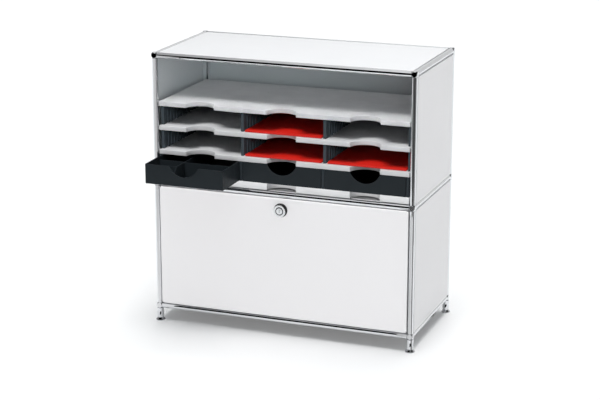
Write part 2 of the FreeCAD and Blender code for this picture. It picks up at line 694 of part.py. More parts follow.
def make_lock():
    save("lock_rosette", lock_rosette())
    save("lock_nut", lock_nut())
    save("lock_cylinder", lock_cylinder())
    save("lock_cam", lock_cam())


def main():
    os.makedirs("parts", exist_ok=True)
    make_frame()
    make_feet()
    make_panels()
    make_sorter()
    for name, (row, column) in BOARD_SLOTS.items():
        save(name, board(row, column))
    save("left_drawer", drawer(0, DRAWER_OPEN))
    save("organiser_tray", organiser_tray(0, DRAWER_OPEN))
    save("centre_drawer", drawer(1))
    save("right_drawer", drawer(2))
    make_flap()
    make_lock()


main()
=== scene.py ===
"""Finished looks for a tube-framed office cabinet with a letter sorter, drawers and a drop flap.

Laid out as an add-on. The settings hold sizes and colours, one operator makes each group of
like pieces, and main() runs them in order around the packed frame. Every length is in metres.
"""
import json
import math

import bmesh
import bpy
from bpy.props import FloatProperty, FloatVectorProperty, IntProperty, PointerProperty
from mathutils import Euler, Matrix, Vector
from mathutils.geometry import tessellate_polygon

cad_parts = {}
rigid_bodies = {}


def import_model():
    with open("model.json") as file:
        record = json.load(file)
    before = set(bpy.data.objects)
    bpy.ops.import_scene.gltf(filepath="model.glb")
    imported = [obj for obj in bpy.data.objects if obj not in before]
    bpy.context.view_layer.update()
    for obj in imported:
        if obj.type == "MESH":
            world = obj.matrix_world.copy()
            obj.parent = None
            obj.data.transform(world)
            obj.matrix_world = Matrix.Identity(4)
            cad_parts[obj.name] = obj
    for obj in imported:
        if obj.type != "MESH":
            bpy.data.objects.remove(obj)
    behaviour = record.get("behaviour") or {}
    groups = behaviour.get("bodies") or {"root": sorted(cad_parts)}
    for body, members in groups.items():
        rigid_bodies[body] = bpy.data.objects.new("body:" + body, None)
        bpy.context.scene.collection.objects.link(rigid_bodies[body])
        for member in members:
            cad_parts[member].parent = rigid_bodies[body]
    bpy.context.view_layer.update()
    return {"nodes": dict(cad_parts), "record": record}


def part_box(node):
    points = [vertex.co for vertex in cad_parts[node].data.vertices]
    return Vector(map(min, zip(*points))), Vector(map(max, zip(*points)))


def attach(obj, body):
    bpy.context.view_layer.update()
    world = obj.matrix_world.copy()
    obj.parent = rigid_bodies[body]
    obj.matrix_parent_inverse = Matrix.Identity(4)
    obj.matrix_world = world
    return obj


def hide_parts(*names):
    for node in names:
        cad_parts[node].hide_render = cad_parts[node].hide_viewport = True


bl_info = {
    "name": "Letter Sorter Cabinet",
    "version": (1, 0, 0),
    "blender": (4, 5, 0),
    "location": "3D View > Sidebar > Cabinet",
    "description": "Dresses the packed cabinet and its letter sorter with finished pieces",
    "category": "Object",
}

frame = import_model()
BODY_OF = {node: body for body, nodes in frame["record"]["behaviour"]["bodies"].items()
           for node in nodes}

WELD = 1e-5
TINY = 1e-6
SMOOTH = math.radians(32)
BEVEL_FROM = math.radians(25)
FLAT = math.radians(1)
CORNER_STEPS = 4                # steps round a softened corner
CORNER_POINTS = CORNER_STEPS + 1
ARC_STEPS = 48                  # steps round a finger notch or the lock hole
HOLE_STEPS = 24
LOCK_SEGMENTS = 96
BALL_SEGMENTS = 64
BALL_RINGS = 40
FITTING_EDGE = 0.0003           # rounding of small pins, nuts and stays


# ---------------------------------------------------------------- reading the frame

def centre(node):
    low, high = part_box(node)
    return (low + high) / 2


def solids(node):
    """(lowest, highest) corner of each separate solid of a CAD node, sorted by x, then y."""
    bm = bmesh.new()
    bm.from_mesh(frame["nodes"][node].data)
    bmesh.ops.remove_doubles(bm, verts=bm.verts, dist=WELD)
    boxes, seen = [], set()
    for start in bm.verts:
        if start in seen:
            continue
        seen.add(start)
        queue, points = [start], []
        while queue:
            vert = queue.pop()
            points.append(vert.co)
            for edge in vert.link_edges:
                other = edge.other_vert(vert)
                if other not in seen:
                    seen.add(other)
                    queue.append(other)
        low = Vector([min(p[i] for p in points) for i in range(3)])
        high = Vector([max(p[i] for p in points) for i in range(3)])
        boxes.append((low, high))
    bm.free()
    return sorted(boxes, key=lambda b: (round(b[0].x, 4), round(b[0].y, 4)))


# ---------------------------------------------------------------- outlines

def soften(points, radius, steps=CORNER_STEPS):
    """Round every corner of a closed outline."""
    points = [Vector(p) for p in points]
    result = []
    for i, corner in enumerate(points):
        before = points[i - 1] - corner
        after = points[(i + 1) % len(points)] - corner
        cut = min(radius, before.length * 0.49, after.length * 0.49)
        start = corner + before.normalized() * cut
        end = corner + after.normalized() * cut
        for step in range(steps + 1):
            t = step / steps
            result.append(start * (1 - t) ** 2 + corner * 2 * t * (1 - t) + end * t ** 2)
    return result


def rectangle(x0, y0, x1, y1):
    return [Vector((x0, y0)), Vector((x1, y0)), Vector((x1, y1)), Vector((x0, y1))]


def arc(middle, radius, start, end, steps):
    """Points of an arc between two angles in radians, ends included."""
    turns = [start + (end - start) * i / steps for i in range(steps + 1)]
    return [Vector(middle) + radius * Vector((math.cos(a), math.sin(a))) for a in turns]


def inset(loop, distance):
    """Move an outline into its material, which lies on the left of its travel."""
    result = []
    for i, here in enumerate(loop):
        before = (here - loop[i - 1]).normalized()
        after = (loop[(i + 1) % len(loop)] - here).normalized()
        sideways = Vector((-before.y - after.y, before.x + after.x))
        result.append(here + sideways * (2 * distance / sideways.length_squared))
    return result


def rim(low, high, edge, steps=3):
    """(inset, level) pairs up the side of a slab with rounded lower and upper edges."""
    turns = [math.pi / 2 * i / steps for i in range(steps + 1)]
    lower = [(edge * (1 - math.sin(t)), low + edge * (1 - math.cos(t))) for t in turns]
    return lower + [(gap, low + high - level) for gap, level in reversed(lower)]


# ---------------------------------------------------------------- meshes

def bridge(bm, low, high):
    """Join two rings, or a ring and a pole, with faces."""
    count = max(len(low), len(high))
    for i in range(count):
        j = (i + 1) % count
        if len(low) == 1:
            bm.faces.new((low[0], high[j], high[i]))
        elif len(high) == 1:
            bm.faces.new((low[i], low[j], high[0]))
        else:
            bm.faces.new((low[i], low[j], high[j], high[i]))


def cap(bm, rings):
    """Fill the flat area inside the first ring and outside the others."""
    if len(rings) == 1:
        bm.faces.new(rings[0])
        return
    verts = [vert for ring in rings for vert in ring]
    for triangle in tessellate_polygon([[vert.co for vert in ring] for ring in rings]):
        bm.faces.new([verts[i] for i in triangle])


def side(bm, loop, levels):
    """Walls that follow an outline through (inset, level) pairs. Returns the end rings."""
    rings = [[bm.verts.new((p.x, p.y, level)) for p in inset(loop, gap)]
             for gap, level in levels]
    for low, high in zip(rings, rings[1:]):
        bridge(bm, low, high)
    return rings[0], rings[-1]


def slab(bm, outline, low, high, edge, hollows=(), ceiling=0.0, holes=(), hole_depth=0.0):
    """A slab with rounded edges, hollows open at its underside and blind holes in its top."""
    bottom, top = side(bm, outline, rim(low, high, edge))
    bottoms, tops = [bottom], [top]
    for hollow in hollows:
        mouth, roof = side(bm, hollow, [(0.0, low), (0.0, ceiling)])
        bottoms.append(mouth)
        cap(bm, [roof])
    for hole in holes:
        chamfer = edge / 3
        floor, mouth = side(bm, hole, [(0.0, high - hole_depth), (0.0, high - chamfer),
                                       (-chamfer, high)])
        tops.append(mouth)
        cap(bm, [floor])
    cap(bm, bottoms)
    cap(bm, tops)


def lathe(bm, profile, segments, place):
    """Turn a closed outline of (radius, height) points about the local Z axis."""
    rings = []
    for radius, height in profile:
        turns = [2 * math.pi * i / segments for i in range(segments)] if radius > TINY else [0.0]
        rings.append([bm.verts.new(place @ Vector((radius * math.cos(a), radius * math.sin(a),
                                                   height))) for a in turns])
    for low, high in zip(rings, rings[1:] + rings[:1]):
        if len(low) > 1 or len(high) > 1:
            bridge(bm, low, high)


def upright(direction, origin):
    """A placement whose local Z axis points along a direction."""
    return Matrix.Translation(origin) @ direction.to_track_quat("Z", "Y").to_matrix().to_4x4()


def make_object(name, bm):
    bmesh.ops.recalc_face_normals(bm, faces=bm.faces)
    mesh = bpy.data.meshes.new(name)
    bm.to_mesh(mesh)
    bm.free()
    made = bpy.data.objects.new(name, mesh)
    bpy.context.scene.collection.objects.link(made)
    return made


def smooth(mesh):
    mesh.shade_smooth()
    mesh.set_sharp_from_angle(angle=SMOOTH)


def finish_piece(name, bm, nodes, material):
    """Turn a mesh into a piece that stands for CAD nodes, on their body and in their slot."""
    piece = make_object(name, bm)
    smooth(piece.data)
    piece.data.materials.append(material)
    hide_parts(*nodes)
    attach(piece, BODY_OF[nodes[0]])
    return piece


def carve(piece, bm):
    """Cut a closed mesh out of a piece for good."""
    cutter = make_object("cutter", bm)
    modifier = piece.modifiers.new("carve", "BOOLEAN")
    modifier.operation = "DIFFERENCE"
    modifier.solver = "EXACT"
    modifier.object = cutter
    bpy.context.view_layer.update()
    carved = bpy.data.meshes.new_from_object(
        piece.evaluated_get(bpy.context.evaluated_depsgraph_get()))
    piece.modifiers.remove(modifier)
    old = piece.data
    piece.data = carved
    bpy.data.meshes.remove(old)
    bpy.data.objects.remove(cutter)
    smooth(piece.data)


def round_edges(piece, width, steps=2):
    """Soften the sharp edges of a finished mesh and even out its shading."""
    bevel = piece.modifiers.new("soft edges", "BEVEL")
    bevel.width = width
    bevel.segments = steps
    bevel.limit_method = "ANGLE"
    bevel.angle_limit = BEVEL_FROM
    bevel.miter_outer = "MITER_ARC"
    shading = piece.modifiers.new("even shading", "WEIGHTED_NORMAL")
    shading.keep_sharp = True


def dress_node(name, material, edge):
    """Give a CAD node its finish and softened edges, with its mesh left as it is."""
    node = frame["nodes"][name]
    for place in node.material_slots:
        place.material = material
    weld = node.modifiers.new("weld", "WELD")
    weld.merge_threshold = WELD
    flatten = node.modifiers.new("flat faces", "DECIMATE")
    flatten.decimate_type = "DISSOLVE"
    flatten.angle_limit = FLAT
    round_edges(node, edge)


# ---------------------------------------------------------------- settings

class FrameSettings(bpy.types.PropertyGroup):
    """Chrome tubes, connector balls and feet."""
    chrome: FloatVectorProperty(
        name="Chrome", description="Colour of the polished chrome", subtype="COLOR",
        size=3, min=0, max=1, default=(0.73, 0.74, 0.76))
    segments: IntProperty(
        name="Segments", description="Faces round each tube", default=64, min=16, max=256)
    tube_wall: FloatProperty(
        name="Tube Wall", description="Wall thickness of the tubes", default=0.0015,
        unit="LENGTH", precision=4)
    tube_chamfer: FloatProperty(
        name="Tube Chamfer", description="Chamfer at the tube ends", default=0.0003,
        unit="LENGTH", precision=4)
    ball_diameter: FloatProperty(
        name="Ball Diameter", description="Diameter of the connector balls", default=0.0215,
        unit="LENGTH", precision=4)
    ball_edge: FloatProperty(
        name="Ball Edge", description="Rounding of the edges of the balls' flats",
        default=0.0004, unit="LENGTH", precision=4)
    disc_rim: FloatProperty(
        name="Disc Rim", description="Height of the upright edge of a foot's disc",
        default=0.0025, unit="LENGTH", precision=4)
    disc_top: FloatProperty(
        name="Disc Top", description="Diameter of the flat top of a foot's disc",
        default=0.017, unit="LENGTH", precision=4)
    disc_height: FloatProperty(
        name="Disc Height", description="Height of a foot's disc", default=0.0085,
        unit="LENGTH", precision=4)
    stem: FloatProperty(
        name="Stem", description="Diameter of a foot's stem", default=0.008,
        unit="LENGTH", precision=4)
    foot_edge: FloatProperty(
        name="Foot Edge", description="Rounding of the feet's turned edges",
        default=0.0007, unit="LENGTH", precision=4)


class PanelSettings(bpy.types.PropertyGroup):
    """Folded steel panels and the drop flap."""
    paint: FloatVectorProperty(
        name="Paint", description="Colour of the powder coat", subtype="COLOR", size=3,
        min=0, max=1, default=(0.84, 0.84, 0.85))
    sheet: FloatProperty(
        name="Sheet", description="Thickness of the sheet", default=0.001, unit="LENGTH",
        precision=4)
    fold: FloatProperty(
        name="Fold Radius", description="Outer radius of the folded edges", default=0.0016,
        unit="LENGTH", precision=4)
    corner: FloatProperty(
        name="Corner Cut", description="Length cut off each corner for the balls",
        default=0.004, unit="LENGTH", precision=4)
    lock_hole: FloatProperty(
        name="Lock Hole", description="Diameter of the hole for the lock's neck",
        default=0.024, unit="LENGTH", precision=4)


class SorterSettings(bpy.types.PropertyGroup):
    """Plates, walls, boards and drawers of the letter sorter."""
    plate_grey: FloatVectorProperty(
        name="Plate Grey", description="Colour of the plates", subtype="COLOR", size=3,
        min=0, max=1, default=(0.72, 0.73, 0.74))
    charcoal: FloatVectorProperty(
        name="Charcoal", description="Colour of the drawers and the tray", subtype="COLOR",
        size=3, min=0, max=1, default=(0.019, 0.0245, 0.0285))
    wall_grey: FloatVectorProperty(
        name="Wall Grey", description="Colour of the sorter's walls", subtype="COLOR",
        size=3, min=0, max=1, default=(0.033, 0.042, 0.049))
    red: FloatVectorProperty(
        name="Red", description="Colour of the slide-in boards", subtype="COLOR", size=3,
        min=0, max=1, default=(0.72, 0.018, 0.010))
    plate_edge: FloatProperty(
        name="Plate Edge", description="Rounding of the plates' edges", default=0.0009,
        unit="LENGTH", precision=4)
    skin: FloatProperty(
        name="Skin", description="Thickness of a plate's top and lips", default=0.003,
        unit="LENGTH", precision=4)
    notch_radius: FloatProperty(
        name="Notch Radius", description="Radius of the finger notches", default=0.043,
        unit="LENGTH", precision=4)
    notch_depth: FloatProperty(
        name="Notch Depth", description="Depth of the finger notches", default=0.038,
        unit="LENGTH", precision=4)
    hole: FloatProperty(
        name="Stacking Hole", description="Diameter of the stacking holes", default=0.005,
        unit="LENGTH", precision=4)
    hole_first: FloatProperty(
        name="First Hole", description="First row of holes behind the front edge",
        default=0.027, unit="LENGTH", precision=4)
    hole_pitch: FloatProperty(
        name="Hole Pitch", description="Distance between rows of holes", default=0.092,
        unit="LENGTH", precision=4)
    holes: IntProperty(
        name="Holes", description="Stacking holes over each wall", default=4, min=0, max=20)
    wall_edge: FloatProperty(
        name="Wall Edge", description="Rounding of the walls' front edges", default=0.003,
        unit="LENGTH", precision=4)
    flute_pitch: FloatProperty(
        name="Flute Pitch", description="Distance between flutes in the walls",
        default=0.020, unit="LENGTH", precision=4)
    flute_width: FloatProperty(
        name="Flute Width", description="Width of each flute", default=0.010,
        unit="LENGTH", precision=4)
    flute_depth: FloatProperty(
        name="Flute Depth", description="Depth of each flute", default=0.0030,
        unit="LENGTH", precision=4)
    board_rim: FloatProperty(
        name="Board Rim", description="Thickness of a board's top and rim", default=0.002,
        unit="LENGTH", precision=4)
    board_edge: FloatProperty(
        name="Board Edge", description="Rounding of the boards' edges", default=0.0008,
        unit="LENGTH", precision=4)


class DrawerSettings(bpy.types.PropertyGroup):
    """Shallow drawers under the letter rows."""
    front: FloatProperty(
        name="Front", description="Thickness of a drawer's front", default=0.003,
        unit="LENGTH", precision=4)
    wall: FloatProperty(
        name="Wall", description="Thickness of a drawer's sides, back and floor",
        default=0.0022, unit="LENGTH", precision=4)
    corner: FloatProperty(
        name="Corner", description="Rounding of a drawer's upright corners",
        default=0.0018, unit="LENGTH", precision=4)
    edge: FloatProperty(
        name="Edge", description="Rounding of the rims and the grip", default=0.0005,
        unit="LENGTH", precision=4)
    grip_chord: FloatProperty(
        name="Grip Width", description="Width of the finger grip", default=0.085,
        unit="LENGTH", precision=4)
    grip_depth: FloatProperty(
        name="Grip Depth", description="Depth of the finger grip", default=0.029,
        unit="LENGTH", precision=4)
    grip_shoulder: FloatProperty(
        name="Grip Shoulder", description="Radius where the grip meets the rim",
        default=0.006, unit="LENGTH", precision=4)


class LockSettings(bpy.types.PropertyGroup):
    """Round lock in the middle of the flap."""
    satin: FloatVectorProperty(
        name="Satin Chrome", description="Colour of the lock", subtype="COLOR", size=3,
        min=0, max=1, default=(0.72, 0.73, 0.74))
    front_diameter: FloatProperty(
        name="Front Diameter", description="Diameter of the rosette's front face",
        default=0.035, unit="LENGTH", precision=4)
    rim: FloatProperty(
        name="Rim", description="Straight edge of the rosette next to the flap",
        default=0.004, unit="LENGTH", precision=4)
    recess_diameter: FloatProperty(
        name="Recess Diameter", description="Diameter of the recess round the cylinder",
        default=0.0225, unit="LENGTH", precision=4)
    recess: FloatProperty(
        name="Recess", description="Depth of the recess", default=0.005, unit="LENGTH",
        precision=4)
    barrel: FloatProperty(
        name="Barrel", description="Diameter of the cylinder's barrel", default=0.018,
        unit="LENGTH", precision=4)
    key_width: FloatProperty(
        name="Keyway Width", description="Width of the key slot", default=0.0016,
        unit="LENGTH", precision=4)
    key_height: FloatProperty(
        name="Keyway Height", description="Height of the key slot", default=0.008,
        unit="LENGTH", precision=4)
    key_depth: FloatProperty(
        name="Keyway Depth", description="Depth of the key slot", default=0.003,
        unit="LENGTH", precision=4)
    edge: FloatProperty(
        name="Rosette Edge", description="Rounding of the rosette's turned edges",
        default=0.0006, unit="LENGTH", precision=4)
    head_edge: FloatProperty(
        name="Head Edge", description="Rounding of the cylinder's head", default=0.0005,
        unit="LENGTH", precision=4)
    fit: FloatProperty(
        name="Fit", description="Clearance of the cylinder in the rosette, all round",
        default=0.00005, unit="LENGTH", precision=5)


class StageSettings(bpy.types.PropertyGroup):
    """Floor, lamps, reflected surroundings and camera."""
    camera: FloatVectorProperty(
        name="Camera", description="Place of the camera", subtype="TRANSLATION", size=3,
        default=(1.6621, -4.3928, 1.6911))
    yaw: FloatProperty(
        name="Yaw", description="Turn of the camera about the upright axis",
        subtype="ANGLE", default=math.radians(20.642))
    pitch: FloatProperty(
        name="Pitch", description="Downward tilt of the camera", subtype="ANGLE",
        default=math.radians(15.806))
    lens: FloatProperty(
        name="Lens", description="Focal length in millimetres", default=104.01)
    floor_grey: FloatProperty(
        name="Floor", description="Reflectance of the floor", default=0.80, min=0, max=1)
    floor_bounce: FloatProperty(
        name="Floor Bounce", description="Reflectance of the floor for the light it throws back "
        "on the cabinet", default=0.55, min=0, max=1)
    floor_lift: FloatProperty(
        name="Floor Lift", description="Light added to the floor that the camera sees",
        default=0.17)
    low_sky: FloatProperty(
        name="Low Sky", description="Brightness of the sky at the horizon on dull surfaces",
        default=0.03)
    high_sky: FloatProperty(
        name="High Sky", description="Brightness of the sky overhead on dull surfaces",
        default=1.0)
    lamp_colour: FloatVectorProperty(
        name="Lamp Colour", description="Colour of the lamps", subtype="COLOR", size=3,
        min=0, max=1, default=(1.0, 0.98, 0.98))
    bay_colour: FloatVectorProperty(
        name="Bay Colour", description="Colour of the lamp on the rear of the open bay",
        subtype="COLOR", size=3, min=0, max=1, default=(0.80, 0.97, 1.0))
    sky_colour: FloatVectorProperty(
        name="Sky Colour", description="Colour of the sky on dull surfaces", subtype="COLOR",
        size=3, min=0, max=1, default=(0.87, 0.965, 1.0))
    front_lamp: FloatProperty(
        name="Front Lamp", description="Strength of the lamp on the cabinet", default=2.5)
    flap_lamp: FloatProperty(
        name="Flap Lamp", description="Strength of the front lamp on the flap and the sorter's "
        "base plate", default=3.52)
    side_lamp: FloatProperty(
        name="Side Lamp", description="Strength of the lamp on the right", default=1.42)
    fill_lamp: FloatProperty(
        name="Fill Lamp", description="Strength of the lamp on the sorter's top under the "
        "cabinet's top", default=0.29)
    inner_lamp: FloatProperty(
        name="Inner Lamp", description="Strength of the low lamp that reaches the rear of the "
        "open bay", default=0.86)
    wall_lamp: FloatProperty(
        name="Wall Lamp", description="Strength of the low lamp on the sorter's walls",
        default=4.0)
    floor_lamp: FloatProperty(
        name="Floor Lamp", description="Strength of the lamp on the floor", default=1.6)
    rear_lamp: FloatProperty(
        name="Rear Lamp", description="Strength of the lamp behind the cabinet that shades the "
        "floor in front", default=0.85)


SETTINGS = {
    "cabinet_frame": FrameSettings,
    "cabinet_panels": PanelSettings,
    "cabinet_sorter": SorterSettings,
    "cabinet_drawers": DrawerSettings,
    "cabinet_lock": LockSettings,
    "cabinet_stage": StageSettings,
}


# ---------------------------------------------------------------- materials

class Finish:
    """A material with one Principled shader and object-space patterns on it."""

    def __init__(self, name, colour, metallic=0.0, **sockets):
        self.material = bpy.data.materials.new(name)
        self.material.use_nodes = True
        self.tree = self.material.node_tree
        self.shader = self.tree.nodes["Principled BSDF"]
        self.colour = (*colour, 1.0)
        self.shader.inputs["Base Color"].default_value = self.colour
        self.shader.inputs["Metallic"].default_value = metallic
        for socket, value in sockets.items():
            self.shader.inputs[socket.replace("_", " ")].default_value = value
        self.place = self.tree.nodes.new("ShaderNodeTexCoord")
        self.height = None

    def node(self, kind, **values):
        made = self.tree.nodes.new(kind)
        for key, value in values.items():
            setattr(made, key, value)
        return made

    def link(self, source, target):
        self.tree.links.new(source, target)

    def noise(self, scale, detail=2.0, stretch=(1, 1, 1)):
        """A cloudy pattern with scale cells to the metre."""
        mapping = self.node("ShaderNodeMapping")
        mapping.inputs["Scale"].default_value = stretch
        self.link(self.place.outputs["Object"], mapping.inputs["Vector"])
        pattern = self.node("ShaderNodeTexNoise")
        pattern.inputs["Scale"].default_value = scale
        pattern.inputs["Detail"].default_value = detail
        self.link(mapping.outputs["Vector"], pattern.inputs["Vector"])
        return pattern.outputs["Fac"]

    def cells(self, scale):
        """A pattern of flat patches with scale cells to the metre."""
        pattern = self.node("ShaderNodeTexVoronoi")
        pattern.inputs["Scale"].default_value = scale
        self.link(self.place.outputs["Object"], pattern.inputs["Vector"])
        separate = self.node("ShaderNodeSeparateColor")
        self.link(pattern.outputs["Color"], separate.inputs["Color"])
        return separate.outputs["Red"]

    def spread(self, pattern, low, high):
        """Stretch a pattern from 0.3..0.7 to a range of values."""
        spread = self.node("ShaderNodeMapRange")
        spread.inputs["From Min"].default_value = 0.3
        spread.inputs["From Max"].default_value = 0.7
        spread.inputs["To Min"].default_value = low
        spread.inputs["To Max"].default_value = high
        self.link(pattern, spread.inputs["Value"])
        return spread.outputs["Result"]

    def roughness(self, pattern, low, high):
        self.link(self.spread(pattern, low, high), self.shader.inputs["Roughness"])
        return self

    def shade(self, pattern, low, high):
        """Vary the brightness of the colour."""
        mix = self.node("ShaderNodeVectorMath", operation="SCALE")
        mix.inputs[0].default_value = self.colour[:3]
        self.link(self.spread(pattern, low, high), mix.inputs["Scale"])
        self.link(mix.outputs["Vector"], self.shader.inputs["Base Color"])
        return self

    def bump(self, pattern, depth, strength=1.0):
        """Raise the surface by a pattern, over any bump that is there already."""
        bump = self.node("ShaderNodeBump")
        bump.inputs["Strength"].default_value = strength
        bump.inputs["Distance"].default_value = depth
        self.link(pattern, bump.inputs["Height"])
        if self.height:
            self.link(self.height, bump.inputs["Normal"])
        self.height = bump.outputs["Normal"]
        self.link(self.height, self.shader.inputs["Normal"])
        return self


def polished_chrome(colour):
    made = Finish("polished_chrome", colour, metallic=1.0)
    cloud = made.noise(9.0, 3.0)
    made.roughness(cloud, 0.035, 0.085).shade(cloud, 0.97, 1.03)
    made.bump(made.noise(260.0, 1.0), 0.000012)
    return made.material


def satin_chrome(colour):
    made = Finish("satin_chrome", colour, metallic=1.0, Anisotropic=0.35)
    cloud = made.noise(240.0, 3.0)
    made.roughness(cloud, 0.16, 0.26).shade(cloud, 0.96, 1.04)
    made.bump(made.noise(2600.0, 1.0), 0.00001)
    return made.material


def powder_coat(colour):
    """Smooth white powder coat with a faint orange peel."""
    made = Finish("powder_coat", colour, Specular_IOR_Level=0.42)
    made.shade(made.noise(3.0, 2.0), 0.985, 1.015)
    made.roughness(made.noise(55.0, 3.0), 0.32, 0.42)
    made.bump(made.noise(420.0, 2.0), 0.00003, 0.6)
    return made.material


def moulded_plastic(name, colour, rough, grain, gloss):
    """Injection-moulded plastic with a fine spark-eroded grain."""
    made = Finish(name, colour, Specular_IOR_Level=gloss)
    made.shade(made.noise(18.0, 4.0), 0.95, 1.05)
    made.roughness(made.noise(140.0, 3.0), rough - 0.05, rough + 0.06)
    made.bump(made.noise(1500.0, 2.0), grain, 0.7)
    return made.material


def red_board(colour):
    """Glazed red board with a faint lengthwise fibre."""
    made = Finish("red_board", colour, Specular_IOR_Level=0.6)
    fibre = made.noise(700.0, 4.0, stretch=(1.0, 0.08, 1.0))
    made.shade(fibre, 0.93, 1.06)
    made.roughness(made.noise(90.0, 3.0), 0.40, 0.52)
    made.bump(fibre, 0.00004, 0.5)
    return made.material


def zinc_plate():
    """Zinc plating with faint crystal patches."""
    made = Finish("zinc_plate", (0.62, 0.63, 0.63), metallic=1.0)
    patches = made.cells(260.0)
    made.shade(patches, 0.88, 1.05)
    made.roughness(patches, 0.30, 0.42)
    made.bump(made.noise(1800.0, 2.0), 0.00002)
    return made.material


def black_rubber():
    made = Finish("black_rubber", (0.022, 0.022, 0.022), Specular_IOR_Level=0.25)
    made.shade(made.noise(60.0, 3.0), 0.9, 1.1)
    made.roughness(made.noise(300.0, 2.0), 0.72, 0.85)
    made.bump(made.noise(2200.0, 2.0), 0.00005)
    return made.material


def finish(name):
    """The material of one finish, made the first time that a piece asks for it."""
    if name in bpy.data.materials:
        return bpy.data.materials[name]
    scene = bpy.context.scene
    sorter = scene.cabinet_sorter
    makers = {
        "polished_chrome": lambda: polished_chrome(scene.cabinet_frame.chrome),
        "satin_chrome": lambda: satin_chrome(scene.cabinet_lock.satin),
        "powder_coat": lambda: powder_coat(scene.cabinet_panels.paint),
        "plate_plastic": lambda: moulded_plastic(name, sorter.plate_grey, 0.46, 0.00002, 0.38),
        "drawer_plastic": lambda: moulded_plastic(name, sorter.charcoal, 0.44, 0.00003, 0.20),
        # near-black used only on the lock's rosette: painted shade in its recess and a painted dark
        # reflection on its flank, not a finish of the lock
        "painted_shade_and_reflection": lambda: moulded_plastic(name, (0.010, 0.010, 0.011), 0.5, 0.00001, 0.2),
        "wall_plastic": lambda: moulded_plastic(name, sorter.wall_grey, 0.44, 0.00003, 0.20),
        "red_board": lambda: red_board(sorter.red),
        "zinc_plate": zinc_plate,
        "black_rubber": black_rubber,
    }
    return makers[name]()


# ---------------------------------------------------------------- operators

class MakeTubes(bpy.types.Operator):
    """Make the chrome rails and posts between the connector balls"""
    bl_idname = "cabinet.tubes"
    bl_label = "Rails and Posts"

    def execute(self, context):
        looks = context.scene.cabinet_frame
        for node in sorted(frame["nodes"]):
            if node.endswith(("_rail", "_post", "_posts")):
                bm = bmesh.new()
                for low, high in solids(node):
                    self.add_tube(bm, low, high, looks)
                finish_piece(node + "_tube", bm, [node], finish("polished_chrome"))
        return {"FINISHED"}

    @staticmethod
    def add_tube(bm, low, high, looks):
        size = high - low
        axis = max(range(3), key=lambda i: size[i])
        direction = Vector([float(i == axis) for i in range(3)])
        length, outer = size[axis], min(size) / 2
        inner, chamfer = outer - looks.tube_wall, looks.tube_chamfer
        profile = [(inner + chamfer, 0), (outer - chamfer, 0), (outer, chamfer),
                   (outer, length - chamfer), (outer - chamfer, length),
                   (inner + chamfer, length), (inner, length - chamfer), (inner, chamfer)]
        start = (low + high) / 2 - direction * (length / 2)
        lathe(bm, profile, looks.segments, upright(direction, start))


class MakeBalls(bpy.types.Operator):
    """Make the chrome connector balls with their six flats"""
    bl_idname = "cabinet.balls"
    bl_label = "Connector Balls"

    def execute(self, context):
        looks = context.scene.cabinet_frame
        for level in ("bottom", "middle", "top"):
            node = level + "_connector_balls"
            z = centre(level + "_front_rail").z
            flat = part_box(level + "_front_rail")[0].x - centre(level + "_left_rail").x
            bm = bmesh.new()
            for side_rail in ("_left_rail", "_right_rail"):
                for end_rail in ("_front_rail", "_rear_rail"):
                    place = Vector((centre(level + side_rail).x, centre(level + end_rail).y, z))
                    self.add_ball(bm, place, looks.ball_diameter / 2, flat)
            ball = finish_piece(level + "_balls", bm, [node], finish("polished_chrome"))
            round_edges(ball, looks.ball_edge, 3)
        return {"FINISHED"}

    @staticmethod
    def add_ball(bm, place, radius, flat):
        """Turn a sphere in a mesh of its own, cut its six flats and add it.

        A turned sphere has its faces in the same order on every run.
        """
        ball = bmesh.new()
        slopes = [math.pi * i / BALL_RINGS for i in range(BALL_RINGS + 1)]
        profile = [(radius * math.sin(a), -radius * math.cos(a)) for a in slopes]
        lathe(ball, profile, BALL_SEGMENTS, Matrix.Translation(place))
        for axis in range(3):
            for sign in (-1, 1):
                normal = Vector([float(sign * (i == axis)) for i in range(3)])
                cut = bmesh.ops.bisect_plane(
                    ball, geom=[*ball.verts, *ball.edges, *ball.faces],
                    plane_co=place + normal * flat, plane_no=normal, clear_outer=True)
                rim_edges = [g for g in cut["geom_cut"] if isinstance(g, bmesh.types.BMEdge)]
                bmesh.ops.edgeloop_fill(ball, edges=rim_edges)
        mesh = bpy.data.meshes.new("ball")
        ball.to_mesh(mesh)
        ball.free()
        bm.from_mesh(mesh)
        bpy.data.meshes.remove(mesh)


class MakeFeet(bpy.types.Operator):
    """Make the levelling feet and their sleeves"""
    bl_idname = "cabinet.feet"
    bl_label = "Levelling Feet"

    def execute(self, context):
        looks = context.scene.cabinet_frame
        up = Vector((0, 0, 1))
        bm = bmesh.new()
        for low, high in solids("foot_sleeves"):
            middle = (low + high) / 2
            radius, length = (high.x - low.x) / 2, high.z - low.z
            bore = looks.stem / 2 + looks.tube_chamfer
            outline = [(bore, 0), (radius, 0), (radius, length), (bore, length)]
            start = Vector((middle.x, middle.y, low.z))
            lathe(bm, soften(outline, looks.tube_chamfer), looks.segments, upright(up, start))
        finish_piece("foot_sleeve_tubes", bm, ["foot_sleeves"], finish("polished_chrome"))
        for node in sorted(n for n in frame["nodes"] if n.endswith("_foot")):
            low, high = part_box(node)
            middle = (low + high) / 2
            radius, stem = (high.x - low.x) / 2, looks.stem / 2
            body = soften([(stem, 0), (radius, 0), (radius, looks.disc_rim),
                           (looks.disc_top / 2, looks.disc_height),
                           (stem, looks.disc_height)], looks.foot_edge)
            outline = [(0, 0), (stem, 0)] + body[CORNER_POINTS:-CORNER_POINTS] + [(stem, looks.disc_height)]
            outline += [(stem, high.z), (0, high.z)]
            bm = bmesh.new()
            lathe(bm, outline, looks.segments, upright(up, Vector((middle.x, middle.y, 0))))
            finish_piece(node + "_disc", bm, [node], finish("polished_chrome"))
        return {"FINISHED"}


